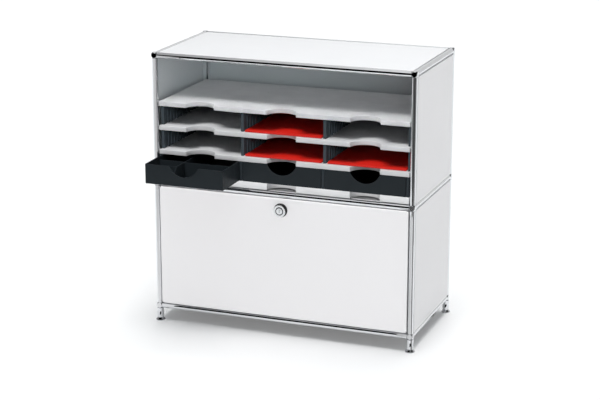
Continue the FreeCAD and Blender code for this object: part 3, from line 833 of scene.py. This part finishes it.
class MakePanels(bpy.types.Operator):
    """Make the folded steel panels and the drop flap"""
    bl_idname = "cabinet.panels"
    bl_label = "Panels and Flap"

    faces = {
        "top_panel": (0, 0, 1), "shelf_panel": (0, 0, 1), "bottom_panel": (0, 0, -1),
        "lower_back_panel": (0, 1, 0), "upper_back_panel": (0, 1, 0),
        "lower_left_panel": (-1, 0, 0), "upper_left_panel": (-1, 0, 0),
        "lower_right_panel": (1, 0, 0), "upper_right_panel": (1, 0, 0),
        "flap_panel": (0, -1, 0),
    }

    def execute(self, context):
        looks = context.scene.cabinet_panels
        for node, face in self.faces.items():
            normal = Vector(face)
            low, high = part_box(node)
            middle, size = (low + high) / 2, high - low
            depth = abs(size.dot(normal))
            across = Vector((0, 1, 0)) if abs(normal.x) else Vector((1, 0, 0))
            along = normal.cross(across)
            origin = middle + normal * (depth / 2)
            place = Matrix((across, along, normal)).transposed().to_4x4()
            place.translation = origin
            hole = None
            if node == "flap_panel":
                lock = centre("lock_rosette") - origin
                hole = (Vector((lock.dot(across), lock.dot(along))), looks.lock_hole / 2)
            bm = bmesh.new()
            self.add_sheet(bm, abs(size.dot(across)), abs(size.dot(along)), depth, looks, hole)
            bm.transform(place)
            finish_piece(node + "_sheet", bm, [node], finish("powder_coat"))
        return {"FINISHED"}

    @staticmethod
    def add_sheet(bm, width, height, depth, looks, hole):
        """A sheet in the XY plane, facing up, with its edges folded down."""
        x, y, cut = width / 2, height / 2, looks.corner
        loop = [Vector(p) for p in (
            (-x + cut, -y), (x - cut, -y), (x, -y + cut), (x, y - cut),
            (x - cut, y), (-x + cut, y), (-x, y - cut), (-x, -y + cut))]
        loop = soften(loop, cut / 4)
        steps = 5
        turns = [math.pi / 2 * i / steps for i in range(steps + 1)]
        outer, inner = looks.fold, looks.fold - looks.sheet
        outside = [(outer * (1 - math.sin(t)), -outer * (1 - math.cos(t))) for t in turns]
        inside = [(looks.sheet + inner * (1 - math.sin(t)),
                   -looks.sheet - inner * (1 - math.cos(t))) for t in reversed(turns)]
        levels = outside + [(0.0, -depth), (looks.sheet, -depth)] + inside
        face, back = side(bm, loop, levels)
        if hole is None:
            cap(bm, [face])
            cap(bm, [back])
            return
        ring = arc(*hole, 0.0, -2 * math.pi, ARC_STEPS)[:-1]
        upper, lower = side(bm, ring, [(0.0, 0.0), (0.0, -looks.sheet)])
        cap(bm, [face, upper])
        cap(bm, [back, lower])


def notched_front(low, high, spans, radius, bite):
    """The front edge from left to right, with a round notch in the middle of each span."""
    reach = math.acos((radius - bite) / radius)
    points = [Vector((low.x, low.y))]
    for left, right in spans:
        middle = ((left + right) / 2, low.y - radius + bite)
        points += arc(middle, radius, math.pi / 2 + reach, math.pi / 2 - reach, ARC_STEPS)
    return points + [Vector((high.x, low.y))]


class MakePlates(bpy.types.Operator):
    """Make the notched plates of the sorter"""
    bl_idname = "cabinet.plates"
    bl_label = "Sorter Plates"

    def execute(self, context):
        looks = context.scene.cabinet_sorter
        walls = solids("sorter_lower_row_walls")
        spans = [(a[1].x, b[0].x) for a, b in zip(walls, walls[1:])]
        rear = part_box("sorter_back_walls")[0].y - looks.skin
        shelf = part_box("sorter_lower_shelf")
        for node in ("sorter_base", "sorter_lower_shelf", "sorter_upper_shelf", "sorter_top"):
            low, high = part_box(node)
            foot = high.z - (shelf[1].z - shelf[0].z)
            outline = notched_front(low, high, spans, looks.notch_radius, looks.notch_depth)
            outline += [Vector((high.x, high.y)), Vector((low.x, high.y))]
            hollows = [self.hollow(low, span, rear, looks) for span in spans]
            holes = self.stacking_holes(low, walls, looks) if node == "sorter_top" else []
            bm = bmesh.new()
            slab(bm, outline, low.z, high.z, looks.plate_edge, hollows, high.z - looks.skin,
                 holes, looks.skin)
            plate = finish_piece(node + "_plate", bm, [node], finish("plate_plastic"))
            if foot - low.z > looks.plate_edge:
                self.clear_skirt(plate, low, high, foot, spans, looks)
        return {"FINISHED"}

    @staticmethod
    def clear_skirt(plate, low, high, foot, spans, looks):
        """Leave nothing but the front lip below a level."""
        lip, spare = looks.skin * 0.9, 0.001
        outline = notched_front(Vector((low.x - spare, low.y + lip)),
                                Vector((high.x + spare, high.y)), spans,
                                looks.notch_radius + lip, looks.notch_depth)
        outline += [Vector((high.x + spare, high.y + spare)),
                    Vector((low.x - spare, high.y + spare))]
        bm = bmesh.new()
        for ring in side(bm, outline, [(0.0, low.z - spare), (0.0, foot)]):
            cap(bm, [ring])
        carve(plate, bm)

    @staticmethod
    def hollow(low, span, rear, looks):
        """The space under one column, behind the lip that follows the front and its notch."""
        left, right = span
        radius = looks.notch_radius + looks.skin
        rise = looks.notch_radius - looks.notch_depth + looks.skin
        turn = math.acos(rise / radius)
        middle = ((left + right) / 2, low.y - looks.notch_radius + looks.notch_depth)
        points = [Vector((left, low.y + looks.skin))]
        points += arc(middle, radius, math.pi / 2 + turn, math.pi / 2 - turn, ARC_STEPS)
        points += [Vector((right, low.y + looks.skin)), Vector((right, rear)),
                   Vector((left, rear))]
        return points[::-1]

    @staticmethod
    def stacking_holes(low, walls, looks):
        rings = []
        for left, right in walls:
            for step in range(looks.holes):
                place = ((left.x + right.x) / 2,
                         low.y + looks.hole_first + step * looks.hole_pitch)
                rings.append(arc(place, looks.hole / 2, 0.0, -2 * math.pi, HOLE_STEPS)[:-1])
        return rings


class MakeWalls(bpy.types.Operator):
    """Make the fluted upright walls and the back walls of the sorter"""
    bl_idname = "cabinet.walls"
    bl_label = "Sorter Walls"

    def execute(self, context):
        looks = context.scene.cabinet_sorter
        for row in ("drawer", "lower", "upper"):
            node = "sorter_" + row + "_row_walls"
            walls = solids(node)
            bm = bmesh.new()
            for index, (low, high) in enumerate(walls):
                outline = self.outline(low, high, index > 0, index < len(walls) - 1, looks)
                slab(bm, outline, low.z, high.z, looks.flute_depth / 8)
            finish_piece(node + "_fluted", bm, [node], finish("wall_plastic"))
        dress_node("sorter_back_walls", finish("wall_plastic"), 0.0004)
        return {"FINISHED"}

    @staticmethod
    def outline(low, high, left_side, right_side, looks):
        """A wall seen from above, with flutes on the sides that face a compartment."""
        depth, width = looks.flute_depth, looks.flute_width
        starts = []
        y = low.y + looks.flute_pitch
        while y + width < high.y:
            starts.append(y)
            y += looks.flute_pitch

        def flute(x, into, y0, y1):
            corners = [Vector((x, y0)), Vector((x + into, y0)), Vector((x + into, y1)),
                       Vector((x, y1))]
            return soften(corners, depth * 0.2, 2)[1:-1]

        points = arc((high.x - looks.wall_edge, low.y + looks.wall_edge), looks.wall_edge,
                     -math.pi / 2, 0.0, 6)
        if right_side:
            for y in starts:
                points += flute(high.x, -depth, y, y + width)
        points += [Vector((high.x, high.y)), Vector((low.x, high.y))]
        if left_side:
            for y in reversed(starts):
                points += flute(low.x, depth, y + width, y)
        return points + arc((low.x + looks.wall_edge, low.y + looks.wall_edge),
                            looks.wall_edge, math.pi, 1.5 * math.pi, 6)


class MakeBoards(bpy.types.Operator):
    """Make the red slide-in boards"""
    bl_idname = "cabinet.boards"
    bl_label = "Slide-in Boards"

    def execute(self, context):
        looks = context.scene.cabinet_sorter
        rim_width = looks.board_rim
        for node in ("upper_centre_board", "lower_centre_board", "lower_right_board"):
            low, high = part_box(node)
            outline = soften(rectangle(low.x, low.y, high.x, high.y), rim_width)
            hollow = soften(rectangle(low.x + rim_width, low.y + rim_width,
                                      high.x - rim_width, high.y - rim_width), rim_width)
            bm = bmesh.new()
            slab(bm, outline, low.z, high.z, looks.board_edge, [hollow[::-1]],
                 high.z - rim_width)
            finish_piece(node + "_sheet", bm, [node], finish("red_board"))
        return {"FINISHED"}


class MakeDrawers(bpy.types.Operator):
    """Make the drawers with their finger grips, and the organiser tray"""
    bl_idname = "cabinet.drawers"
    bl_label = "Drawers"

    def execute(self, context):
        looks = context.scene.cabinet_drawers
        for node in ("left_drawer", "centre_drawer", "right_drawer"):
            low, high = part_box(node)
            bm = bmesh.new()
            self.add_box(bm, low, high, looks)
            piece = finish_piece(node + "_box", bm, [node], finish("drawer_plastic"))
            bm = bmesh.new()
            self.add_grip(bm, low, high, looks)
            carve(piece, bm)
            round_edges(piece, looks.edge)
        dress_node("organiser_tray", finish("drawer_plastic"), looks.edge * 0.8)
        return {"FINISHED"}

    @staticmethod
    def add_box(bm, low, high, looks):
        wall = looks.wall
        outline = soften(rectangle(low.x, low.y, high.x, high.y), looks.corner)
        inside = soften(rectangle(low.x + wall, low.y + looks.front, high.x - wall,
                                  high.y - wall), looks.corner)
        bottom, top = side(bm, outline, [(0.0, low.z), (0.0, high.z)])
        floor, mouth = side(bm, inside[::-1], [(0.0, low.z + wall), (0.0, high.z)])
        cap(bm, [bottom])
        cap(bm, [floor])
        cap(bm, [top, mouth])

    @staticmethod
    def add_grip(bm, low, high, looks):
        """The grip as a solid: a shallow arc that meets the rim in round shoulders."""
        radius = (looks.grip_chord ** 2 / 4 + looks.grip_depth ** 2) / (2 * looks.grip_depth)
        shoulder = looks.grip_shoulder
        x, top = (low.x + high.x) / 2, high.z
        heart = Vector((x, top - looks.grip_depth + radius))
        drop = heart.y - top + shoulder
        reach = math.sqrt((radius + shoulder) ** 2 - drop ** 2)
        turn = math.atan2(reach, drop)
        quarter = math.pi / 2
        points = arc((x - reach, top - shoulder), shoulder, quarter, quarter - turn, 8)
        points += arc(heart, radius, -quarter - turn, -quarter + turn, 32)[1:-1]
        points += arc((x + reach, top - shoulder), shoulder, quarter + turn, quarter, 8)
        points += [Vector((x + reach, top + shoulder)), Vector((x - reach, top + shoulder))]
        rings = [[bm.verts.new((p.x, y, p.y)) for p in points]
                 for y in (low.y - looks.front, low.y + 2 * looks.front)]
        bridge(bm, *rings)
        cap(bm, [rings[0]])
        cap(bm, [rings[1]])


class MakeLock(bpy.types.Operator):
    """Make the lock's rosette and cylinder, and finish its nut and cam"""
    bl_idname = "cabinet.lock"
    bl_label = "Lock"

    def execute(self, context):
        looks = context.scene.cabinet_lock
        outward = Vector((0, -1, 0))
        low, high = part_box("lock_rosette")
        face_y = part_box("flap_panel")[0].y
        proud, neck = face_y - low.y, high.y - face_y
        radius = (high.x - low.x) / 2
        origin = Vector(((low.x + high.x) / 2, face_y, (low.z + high.z) / 2))
        place = upright(outward, origin)
        bore, recess = looks.barrel / 2, looks.recess_diameter / 2
        neck_radius = context.scene.cabinet_panels.lock_hole / 2
        outline = soften([(recess, proud), (looks.front_diameter / 2, proud),
                          (radius, looks.rim), (radius, 0), (neck_radius, 0),
                          (neck_radius, -neck), (bore, -neck), (bore, proud - looks.recess),
                          (recess, proud - looks.recess)], looks.edge)
        bm = bmesh.new()
        lathe(bm, outline, LOCK_SEGMENTS, place)
        ring = finish_piece("lock_rosette_ring", bm, ["lock_rosette"], finish("satin_chrome"))
        # The second slot is near-black: on the rosette's flank it is a painted dark reflection, and on the
        # recess round the cylinder it is painted shade.
        ring.data.materials.append(finish("painted_shade_and_reflection"))
        flank_slope, spare = 0.6, 0.0001
        for face in ring.data.polygons:
            across = math.hypot(face.center.x - origin.x, face.center.z - origin.z)
            flank = across > looks.front_diameter / 2 and abs(face.normal.y) < flank_slope
            if flank or across < recess + spare:
                face.material_index = 1
        self.make_cylinder(place, face_y, looks)
        for node in ("lock_nut", "lock_cam"):
            dress_node(node, finish("zinc_plate"), FITTING_EDGE)
        return {"FINISHED"}

    @staticmethod
    def make_cylinder(place, face_y, looks):
        low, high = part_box("lock_cylinder")
        proud, tail = face_y - low.y, high.y - face_y
        head, barrel = (high.x - low.x) / 2, looks.barrel / 2 - looks.fit
        seat = proud - looks.recess
        outline = soften([(barrel, seat), (head, seat), (head, proud), (barrel * 0.5, proud)],
                         looks.head_edge)
        outline = outline[CORNER_POINTS:-CORNER_POINTS]
        outline = [(0, -tail), (barrel, -tail), (barrel, seat), *outline, (0, proud)]
        bm = bmesh.new()
        lathe(bm, outline, LOCK_SEGMENTS, place)
        piece = finish_piece("lock_cylinder_plug", bm, ["lock_cylinder"],
                             finish("satin_chrome"))
        bm = bmesh.new()
        x, y = looks.key_width / 2, looks.key_height / 2
        slot = soften(rectangle(-x, -y, x, y), x, 6)
        slab(bm, slot, proud - looks.key_depth, proud + looks.key_depth, looks.key_width / 20)
        bm.transform(place)
        carve(piece, bm)


class MakeFittings(bpy.types.Operator):
    """Finish the stays, guides, hinge pins, dowels and rubber pads"""
    bl_idname = "cabinet.fittings"
    bl_label = "Stays, Pins and Pads"

    def execute(self, context):
        for node, edge in (("flap_stays", FITTING_EDGE), ("stay_guides", 0.0004),
                           ("flap_hinge_pins", FITTING_EDGE), ("sorter_dowels", FITTING_EDGE)):
            dress_node(node, finish("zinc_plate"), edge)
        dress_node("sorter_pads", finish("black_rubber"), 0.0005)
        return {"FINISHED"}


# ---------------------------------------------------------------- stage

class MakeStage(bpy.types.Operator):
    """Make the floor, lamps, reflected surroundings and camera"""
    bl_idname = "cabinet.stage"
    bl_label = "Stage"

    def execute(self, context):
        looks = context.scene.cabinet_stage
        context.scene.view_settings.view_transform = "Standard"
        self.world(context.scene, looks)
        floor = self.floor(looks)
        self.dome()
        self.post_cards()
        self.room_cards()
        self.foot_cards()
        self.lamps(looks, floor)
        self.camera(context.scene, looks)
        return {"FINISHED"}

    def lamps(self, looks, floor):
        """Broad lamps, given by height, turn and width in degrees. Most light a few pieces only."""
        piece = bpy.data.objects
        flap = piece["flap_panel_sheet"]
        bay = [piece[name + "_sheet"] for name in ("upper_back_panel", "upper_left_panel")]
        walls = [piece["sorter_" + row + "_row_walls_fluted"] for row in ("lower", "upper")]
        rails = [piece[name + "_tube"] for name in (
            "middle_front_rail", "lower_front_left_post", "lower_front_right_post")]
        low = [flap, piece["sorter_base_plate"]]
        self.lamp("front_lamp", looks.front_lamp, 57, -8, 22, spares=[floor] + low + walls)
        self.lamp("flap_lamp", looks.flap_lamp, 56, -8, 22, lights=low, casters=low + rails)
        self.lamp("side_lamp", looks.side_lamp, 15, 96, 40, spares=[floor])
        inner = self.lamp("inner_lamp", looks.inner_lamp, 6, 32, 40, lights=bay)
        inner.data.color = looks.bay_colour
        roof = [piece["top_panel_sheet"], piece["top_front_rail_tube"]]
        self.lamp("fill_lamp", looks.fill_lamp, 62, 60, 60, lights=[piece["sorter_top_plate"]],
                  ignores=roof)
        self.lamp("wall_lamp", looks.wall_lamp, 22, 17, 16, lights=walls)
        self.lamp("floor_lamp", looks.floor_lamp, 80, 22, 30, lights=[floor])
        self.lamp("rear_lamp", looks.rear_lamp, 74, 180, 24, lights=[floor])

    @staticmethod
    def seen_rays(tree):
        """1 for rays from the camera, in reflections and through glass, and 0 for others."""
        path = tree.nodes.new("ShaderNodeLightPath")
        total = path.outputs["Is Camera Ray"]
        for output in ("Is Glossy Ray", "Is Transmission Ray"):
            add = tree.nodes.new("ShaderNodeMath")
            add.operation = "MAXIMUM"
            tree.links.new(total, add.inputs[0])
            tree.links.new(path.outputs[output], add.inputs[1])
            total = add.outputs[0]
        return total

    def world(self, scene, looks):
        scene.world = bpy.data.worlds.new("studio")
        scene.world.use_nodes = True
        tree = scene.world.node_tree
        white = tree.nodes["Background"]
        white.inputs["Color"].default_value = (1, 1, 1, 1)
        white.inputs["Strength"].default_value = 1.0
        dull = tree.nodes.new("ShaderNodeBackground")
        dull.inputs["Color"].default_value = (*looks.sky_colour, 1)
        place = tree.nodes.new("ShaderNodeTexCoord")
        split = tree.nodes.new("ShaderNodeSeparateXYZ")
        tree.links.new(place.outputs["Generated"], split.inputs[0])
        sky = self.spread(tree, split.outputs["Z"], 0.6, 1.0, looks.low_sky, looks.high_sky)
        tree.links.new(sky, dull.inputs["Strength"])
        mix = tree.nodes.new("ShaderNodeMixShader")
        tree.links.new(self.seen_rays(tree), mix.inputs["Fac"])
        tree.links.new(dull.outputs[0], mix.inputs[1])
        tree.links.new(white.outputs[0], mix.inputs[2])
        tree.links.new(mix.outputs[0], tree.nodes["World Output"].inputs["Surface"])

    def floor(self, looks):
        bm = bmesh.new()
        bmesh.ops.create_grid(bm, x_segments=1, y_segments=1, size=14)
        floor = make_object("studio_floor", bm)
        material = bpy.data.materials.new("white_floor")
        material.use_nodes = True
        tree = material.node_tree
        shader = tree.nodes["Principled BSDF"]
        shader.inputs["Roughness"].default_value = 0.9
        shader.inputs["Specular IOR Level"].default_value = 0.0
        shader.inputs["Emission Color"].default_value = (1, 1, 1, 1)
        seen = self.seen_rays(tree)
        grey = self.spread(tree, seen, 0.0, 1.0, looks.floor_bounce, looks.floor_grey)
        tree.links.new(grey, shader.inputs["Base Color"])
        lift = self.spread(tree, seen, 0.0, 1.0, 0.0, looks.floor_lift)
        tree.links.new(lift, shader.inputs["Emission Strength"])
        floor.data.materials.append(material)
        return floor

    @staticmethod
    def glowing(name, bm):
        """A stage object that only reflections see, with its emission node and node tree."""
        made = make_object(name, bm)
        made.visible_camera = False
        made.visible_diffuse = False
        made.visible_shadow = False
        made.visible_transmission = False
        material = bpy.data.materials.new(name)
        material.use_nodes = True
        tree = material.node_tree
        tree.nodes.remove(tree.nodes["Principled BSDF"])
        glow = tree.nodes.new("ShaderNodeEmission")
        tree.links.new(glow.outputs[0], tree.nodes["Material Output"].inputs["Surface"])
        made.data.materials.append(material)
        return made, glow, tree

    def card(self, name, brightness, corners, lights=()):
        """A flat card in reflections. Where it lights some pieces only, it is black in others."""
        bm = bmesh.new()
        bm.faces.new([bm.verts.new(corner) for corner in corners])
        card, glow, tree = self.glowing(name, bm)
        glow.inputs["Strength"].default_value = brightness
        if lights:
            self.link_light(card, "receiver_collection", lights, "INCLUDE")
        return glow, tree

    def upright_card(self, name, brightness, xs, y, zs, lights=()):
        """A card that faces the cabinet's front."""
        outline = rectangle(xs[0], zs[0], xs[1], zs[1])
        return self.card(name, brightness, [(p.x, y, p.y) for p in outline], lights)

    def room_cards(self):
        """Cards that stand for the room in front, at the right and on the floor."""
        self.upright_card("front_flag", 0.18, (-0.95, 0.25), -0.72, (0.27, 1.15),
                          [bpy.data.objects["upper_front_right_post_tube"]])
        self.upright_card("front_card", 0.06, (0.0, 1.9), -1.05, (0.10, 0.80))
        self.upright_card("left_card", 0.015, (-0.95, -0.68), -1.05, (0.45, 0.70))
        beside = 1.2
        self.card("right_card", 0.30,
                  [(beside, p.x, p.y) for p in rectangle(-0.60, 0.05, -0.10, 0.80)])
        self.card("floor_card", 0.27, [(0.375, -0.123, 0.002), (2.125, -3.154, 0.002),
                                       (3.799, -0.851, 0.002)])

    def foot_cards(self):
        """Small cards ahead of three feet, bright in the bottom front rail and black in the feet."""
        rail = [bpy.data.objects["bottom_front_rail_tube"]]
        half_width, half_depth, level = 0.028, 0.020, 0.003
        for foot in ("front_left_foot", "front_right_foot", "rear_right_foot"):
            x, y = centre(foot).x + 0.026, centre(foot).y - 0.060
            outline = rectangle(x - half_width, y - half_depth, x + half_width, y + half_depth)
            self.card(foot + "_card", 0.8, [(p.x, p.y, level) for p in outline], rail)

    def post_cards(self):
        """Silver cards close to three of the front posts. Each fades along one axis."""
        pieces = [bpy.data.objects[name] for name in (
            "upper_front_left_post_tube", "lower_front_left_post_tube", "middle_balls",
            "lower_front_right_post_tube", "top_front_rail_tube", "bottom_front_rail_tube",
            "flap_panel_sheet", "bottom_balls", "foot_sleeve_tubes")]
        ahead, low, high = -0.155, (0.03, 0.379), (0.38, 0.77)
        for name, xs, zs, axis, fade in (
                ("upper_left_card", (-0.41, -0.31), high, "X", (-0.37, -0.31, 0.72, 0.30)),
                ("lower_left_card", (-0.41, -0.34), low, "Z", (0.05, 0.38, 0.92, 0.70)),
                ("lower_right_card", (0.33, 0.386), low, "X", (0.345, 0.378, 0.60, 0.85))):
            glow, tree = self.upright_card(name, 0.0, xs, ahead, zs, pieces)
            place = tree.nodes.new("ShaderNodeTexCoord")
            split = tree.nodes.new("ShaderNodeSeparateXYZ")
            tree.links.new(place.outputs["Object"], split.inputs[0])
            silver = self.spread(tree, split.outputs[axis], *fade)
            tree.links.new(silver, glow.inputs["Strength"])

    def dome(self):
        """Studio walls for reflections: dark low down in front and silver behind."""
        radius, sides = 5.5, 48
        bm = bmesh.new()
        slopes = [0.0] + [math.radians(degrees) for degrees in range(10, 90, 8)]
        turns = [2 * math.pi * i / sides for i in range(sides)]
        rings = [[bm.verts.new((radius * math.cos(slope) * math.cos(turn),
                                radius * math.cos(slope) * math.sin(turn),
                                radius * math.sin(slope))) for turn in turns]
                 for slope in slopes]
        rings.append([bm.verts.new((0, 0, radius))])
        for low, high in zip(rings, rings[1:]):
            bridge(bm, low, high)
        dome, glow, tree = self.glowing("studio_dome", bm)
        place = tree.nodes.new("ShaderNodeTexCoord")
        direction = tree.nodes.new("ShaderNodeVectorMath")
        direction.operation = "NORMALIZE"
        split = tree.nodes.new("ShaderNodeSeparateXYZ")
        tree.links.new(place.outputs["Object"], direction.inputs[0])
        tree.links.new(direction.outputs[0], split.inputs[0])
        walls = self.spread(tree, split.outputs["Y"], -0.1, 0.35, 0.015, 0.75)
        ceiling = tree.nodes.new("ShaderNodeMath")
        ceiling.operation = "MULTIPLY"
        left = self.spread(tree, split.outputs["X"], -0.5, -0.2, 0.30, 0.90)
        right = self.spread(tree, split.outputs["X"], 0.05, 0.45, 1.0, 0.05)
        tree.links.new(left, ceiling.inputs[0])
        tree.links.new(right, ceiling.inputs[1])
        height = self.spread(tree, split.outputs["Z"], 0.34, 0.70, 0.0, 1.0)
        mix = tree.nodes.new("ShaderNodeMix")
        tree.links.new(height, mix.inputs["Factor"])
        tree.links.new(walls, mix.inputs["A"])
        tree.links.new(ceiling.outputs[0], mix.inputs["B"])
        tree.links.new(mix.outputs["Result"], glow.inputs["Strength"])

    @staticmethod
    def spread(tree, value, low, high, first, last):
        ramp = tree.nodes.new("ShaderNodeMapRange")
        for socket, number in (("From Min", low), ("From Max", high), ("To Min", first),
                               ("To Max", last)):
            ramp.inputs[socket].default_value = number
        tree.links.new(value, ramp.inputs["Value"])
        return ramp.outputs["Result"]

    def lamp(self, name, strength, height, turn, width, lights=(), spares=(), ignores=(),
             casters=()):
        """A broad distant lamp. A turn of 0 shines along +Y, and more moves it to the right.

        It lights some pieces only, or spares some. It casts no shadow of those it ignores, or
        shadows of the casters only.
        """
        looks = bpy.context.scene.cabinet_stage
        light = bpy.data.lights.new(name, "SUN")
        light.color = looks.lamp_colour
        light.energy = strength
        light.angle = math.radians(width)
        lamp = bpy.data.objects.new(name, light)
        lamp.rotation_euler = Euler((math.radians(90 - height), 0, math.radians(turn)))
        lamp.visible_glossy = False
        bpy.context.scene.collection.objects.link(lamp)
        for kind, objects, state in (("receiver_collection", lights, "INCLUDE"),
                                     ("receiver_collection", spares, "EXCLUDE"),
                                     ("blocker_collection", ignores, "EXCLUDE"),
                                     ("blocker_collection", casters, "INCLUDE")):
            if objects:
                self.link_light(lamp, kind, objects, state)
        return lamp

    @staticmethod
    def link_light(lamp, kind, objects, state):
        """Limit what a lamp lights, or what casts its shadows."""
        group = bpy.data.collections.new(lamp.name + "_" + kind)
        for item in objects:
            group.objects.link(item)
        for link in group.collection_objects:
            link.light_linking.link_state = state
        setattr(lamp.light_linking, kind, group)

    @staticmethod
    def camera(scene, looks):
        data = bpy.data.cameras.new("camera")
        data.lens = looks.lens
        data.sensor_width = 36.0
        camera = bpy.data.objects.new("camera", data)
        camera.location = looks.camera
        camera.rotation_euler = Euler((math.pi / 2 - looks.pitch, 0, looks.yaw))
        scene.collection.objects.link(camera)
        scene.camera = camera


STEPS = (MakeTubes, MakeBalls, MakeFeet, MakePanels, MakePlates, MakeWalls, MakeBoards,
         MakeDrawers, MakeLock, MakeFittings, MakeStage)


class CabinetPanel(bpy.types.Panel):
    """Buttons and settings for the cabinet."""
    bl_idname = "VIEW3D_PT_cabinet"
    bl_label = "Cabinet"
    bl_space_type = "VIEW_3D"
    bl_region_type = "UI"
    bl_category = "Cabinet"

    def draw(self, context):
        layout = self.layout
        for step in STEPS:
            layout.operator(step.bl_idname)
        for group, kind in SETTINGS.items():
            box = layout.box()
            box.label(text=kind.__doc__)
            for name in kind.__annotations__:
                box.prop(getattr(context.scene, group), name)


def register():
    for kind in (*SETTINGS.values(), *STEPS, CabinetPanel):
        bpy.utils.register_class(kind)
    for group, kind in SETTINGS.items():
        setattr(bpy.types.Scene, group, PointerProperty(type=kind))


def unregister():
    for group in SETTINGS:
        delattr(bpy.types.Scene, group)
    for kind in reversed((*SETTINGS.values(), *STEPS, CabinetPanel)):
        bpy.utils.unregister_class(kind)


def main():
    register()
    for step in STEPS:
        group, name = step.bl_idname.split(".")
        getattr(getattr(bpy.ops, group), name)()


if __name__ == "__main__":
    main()
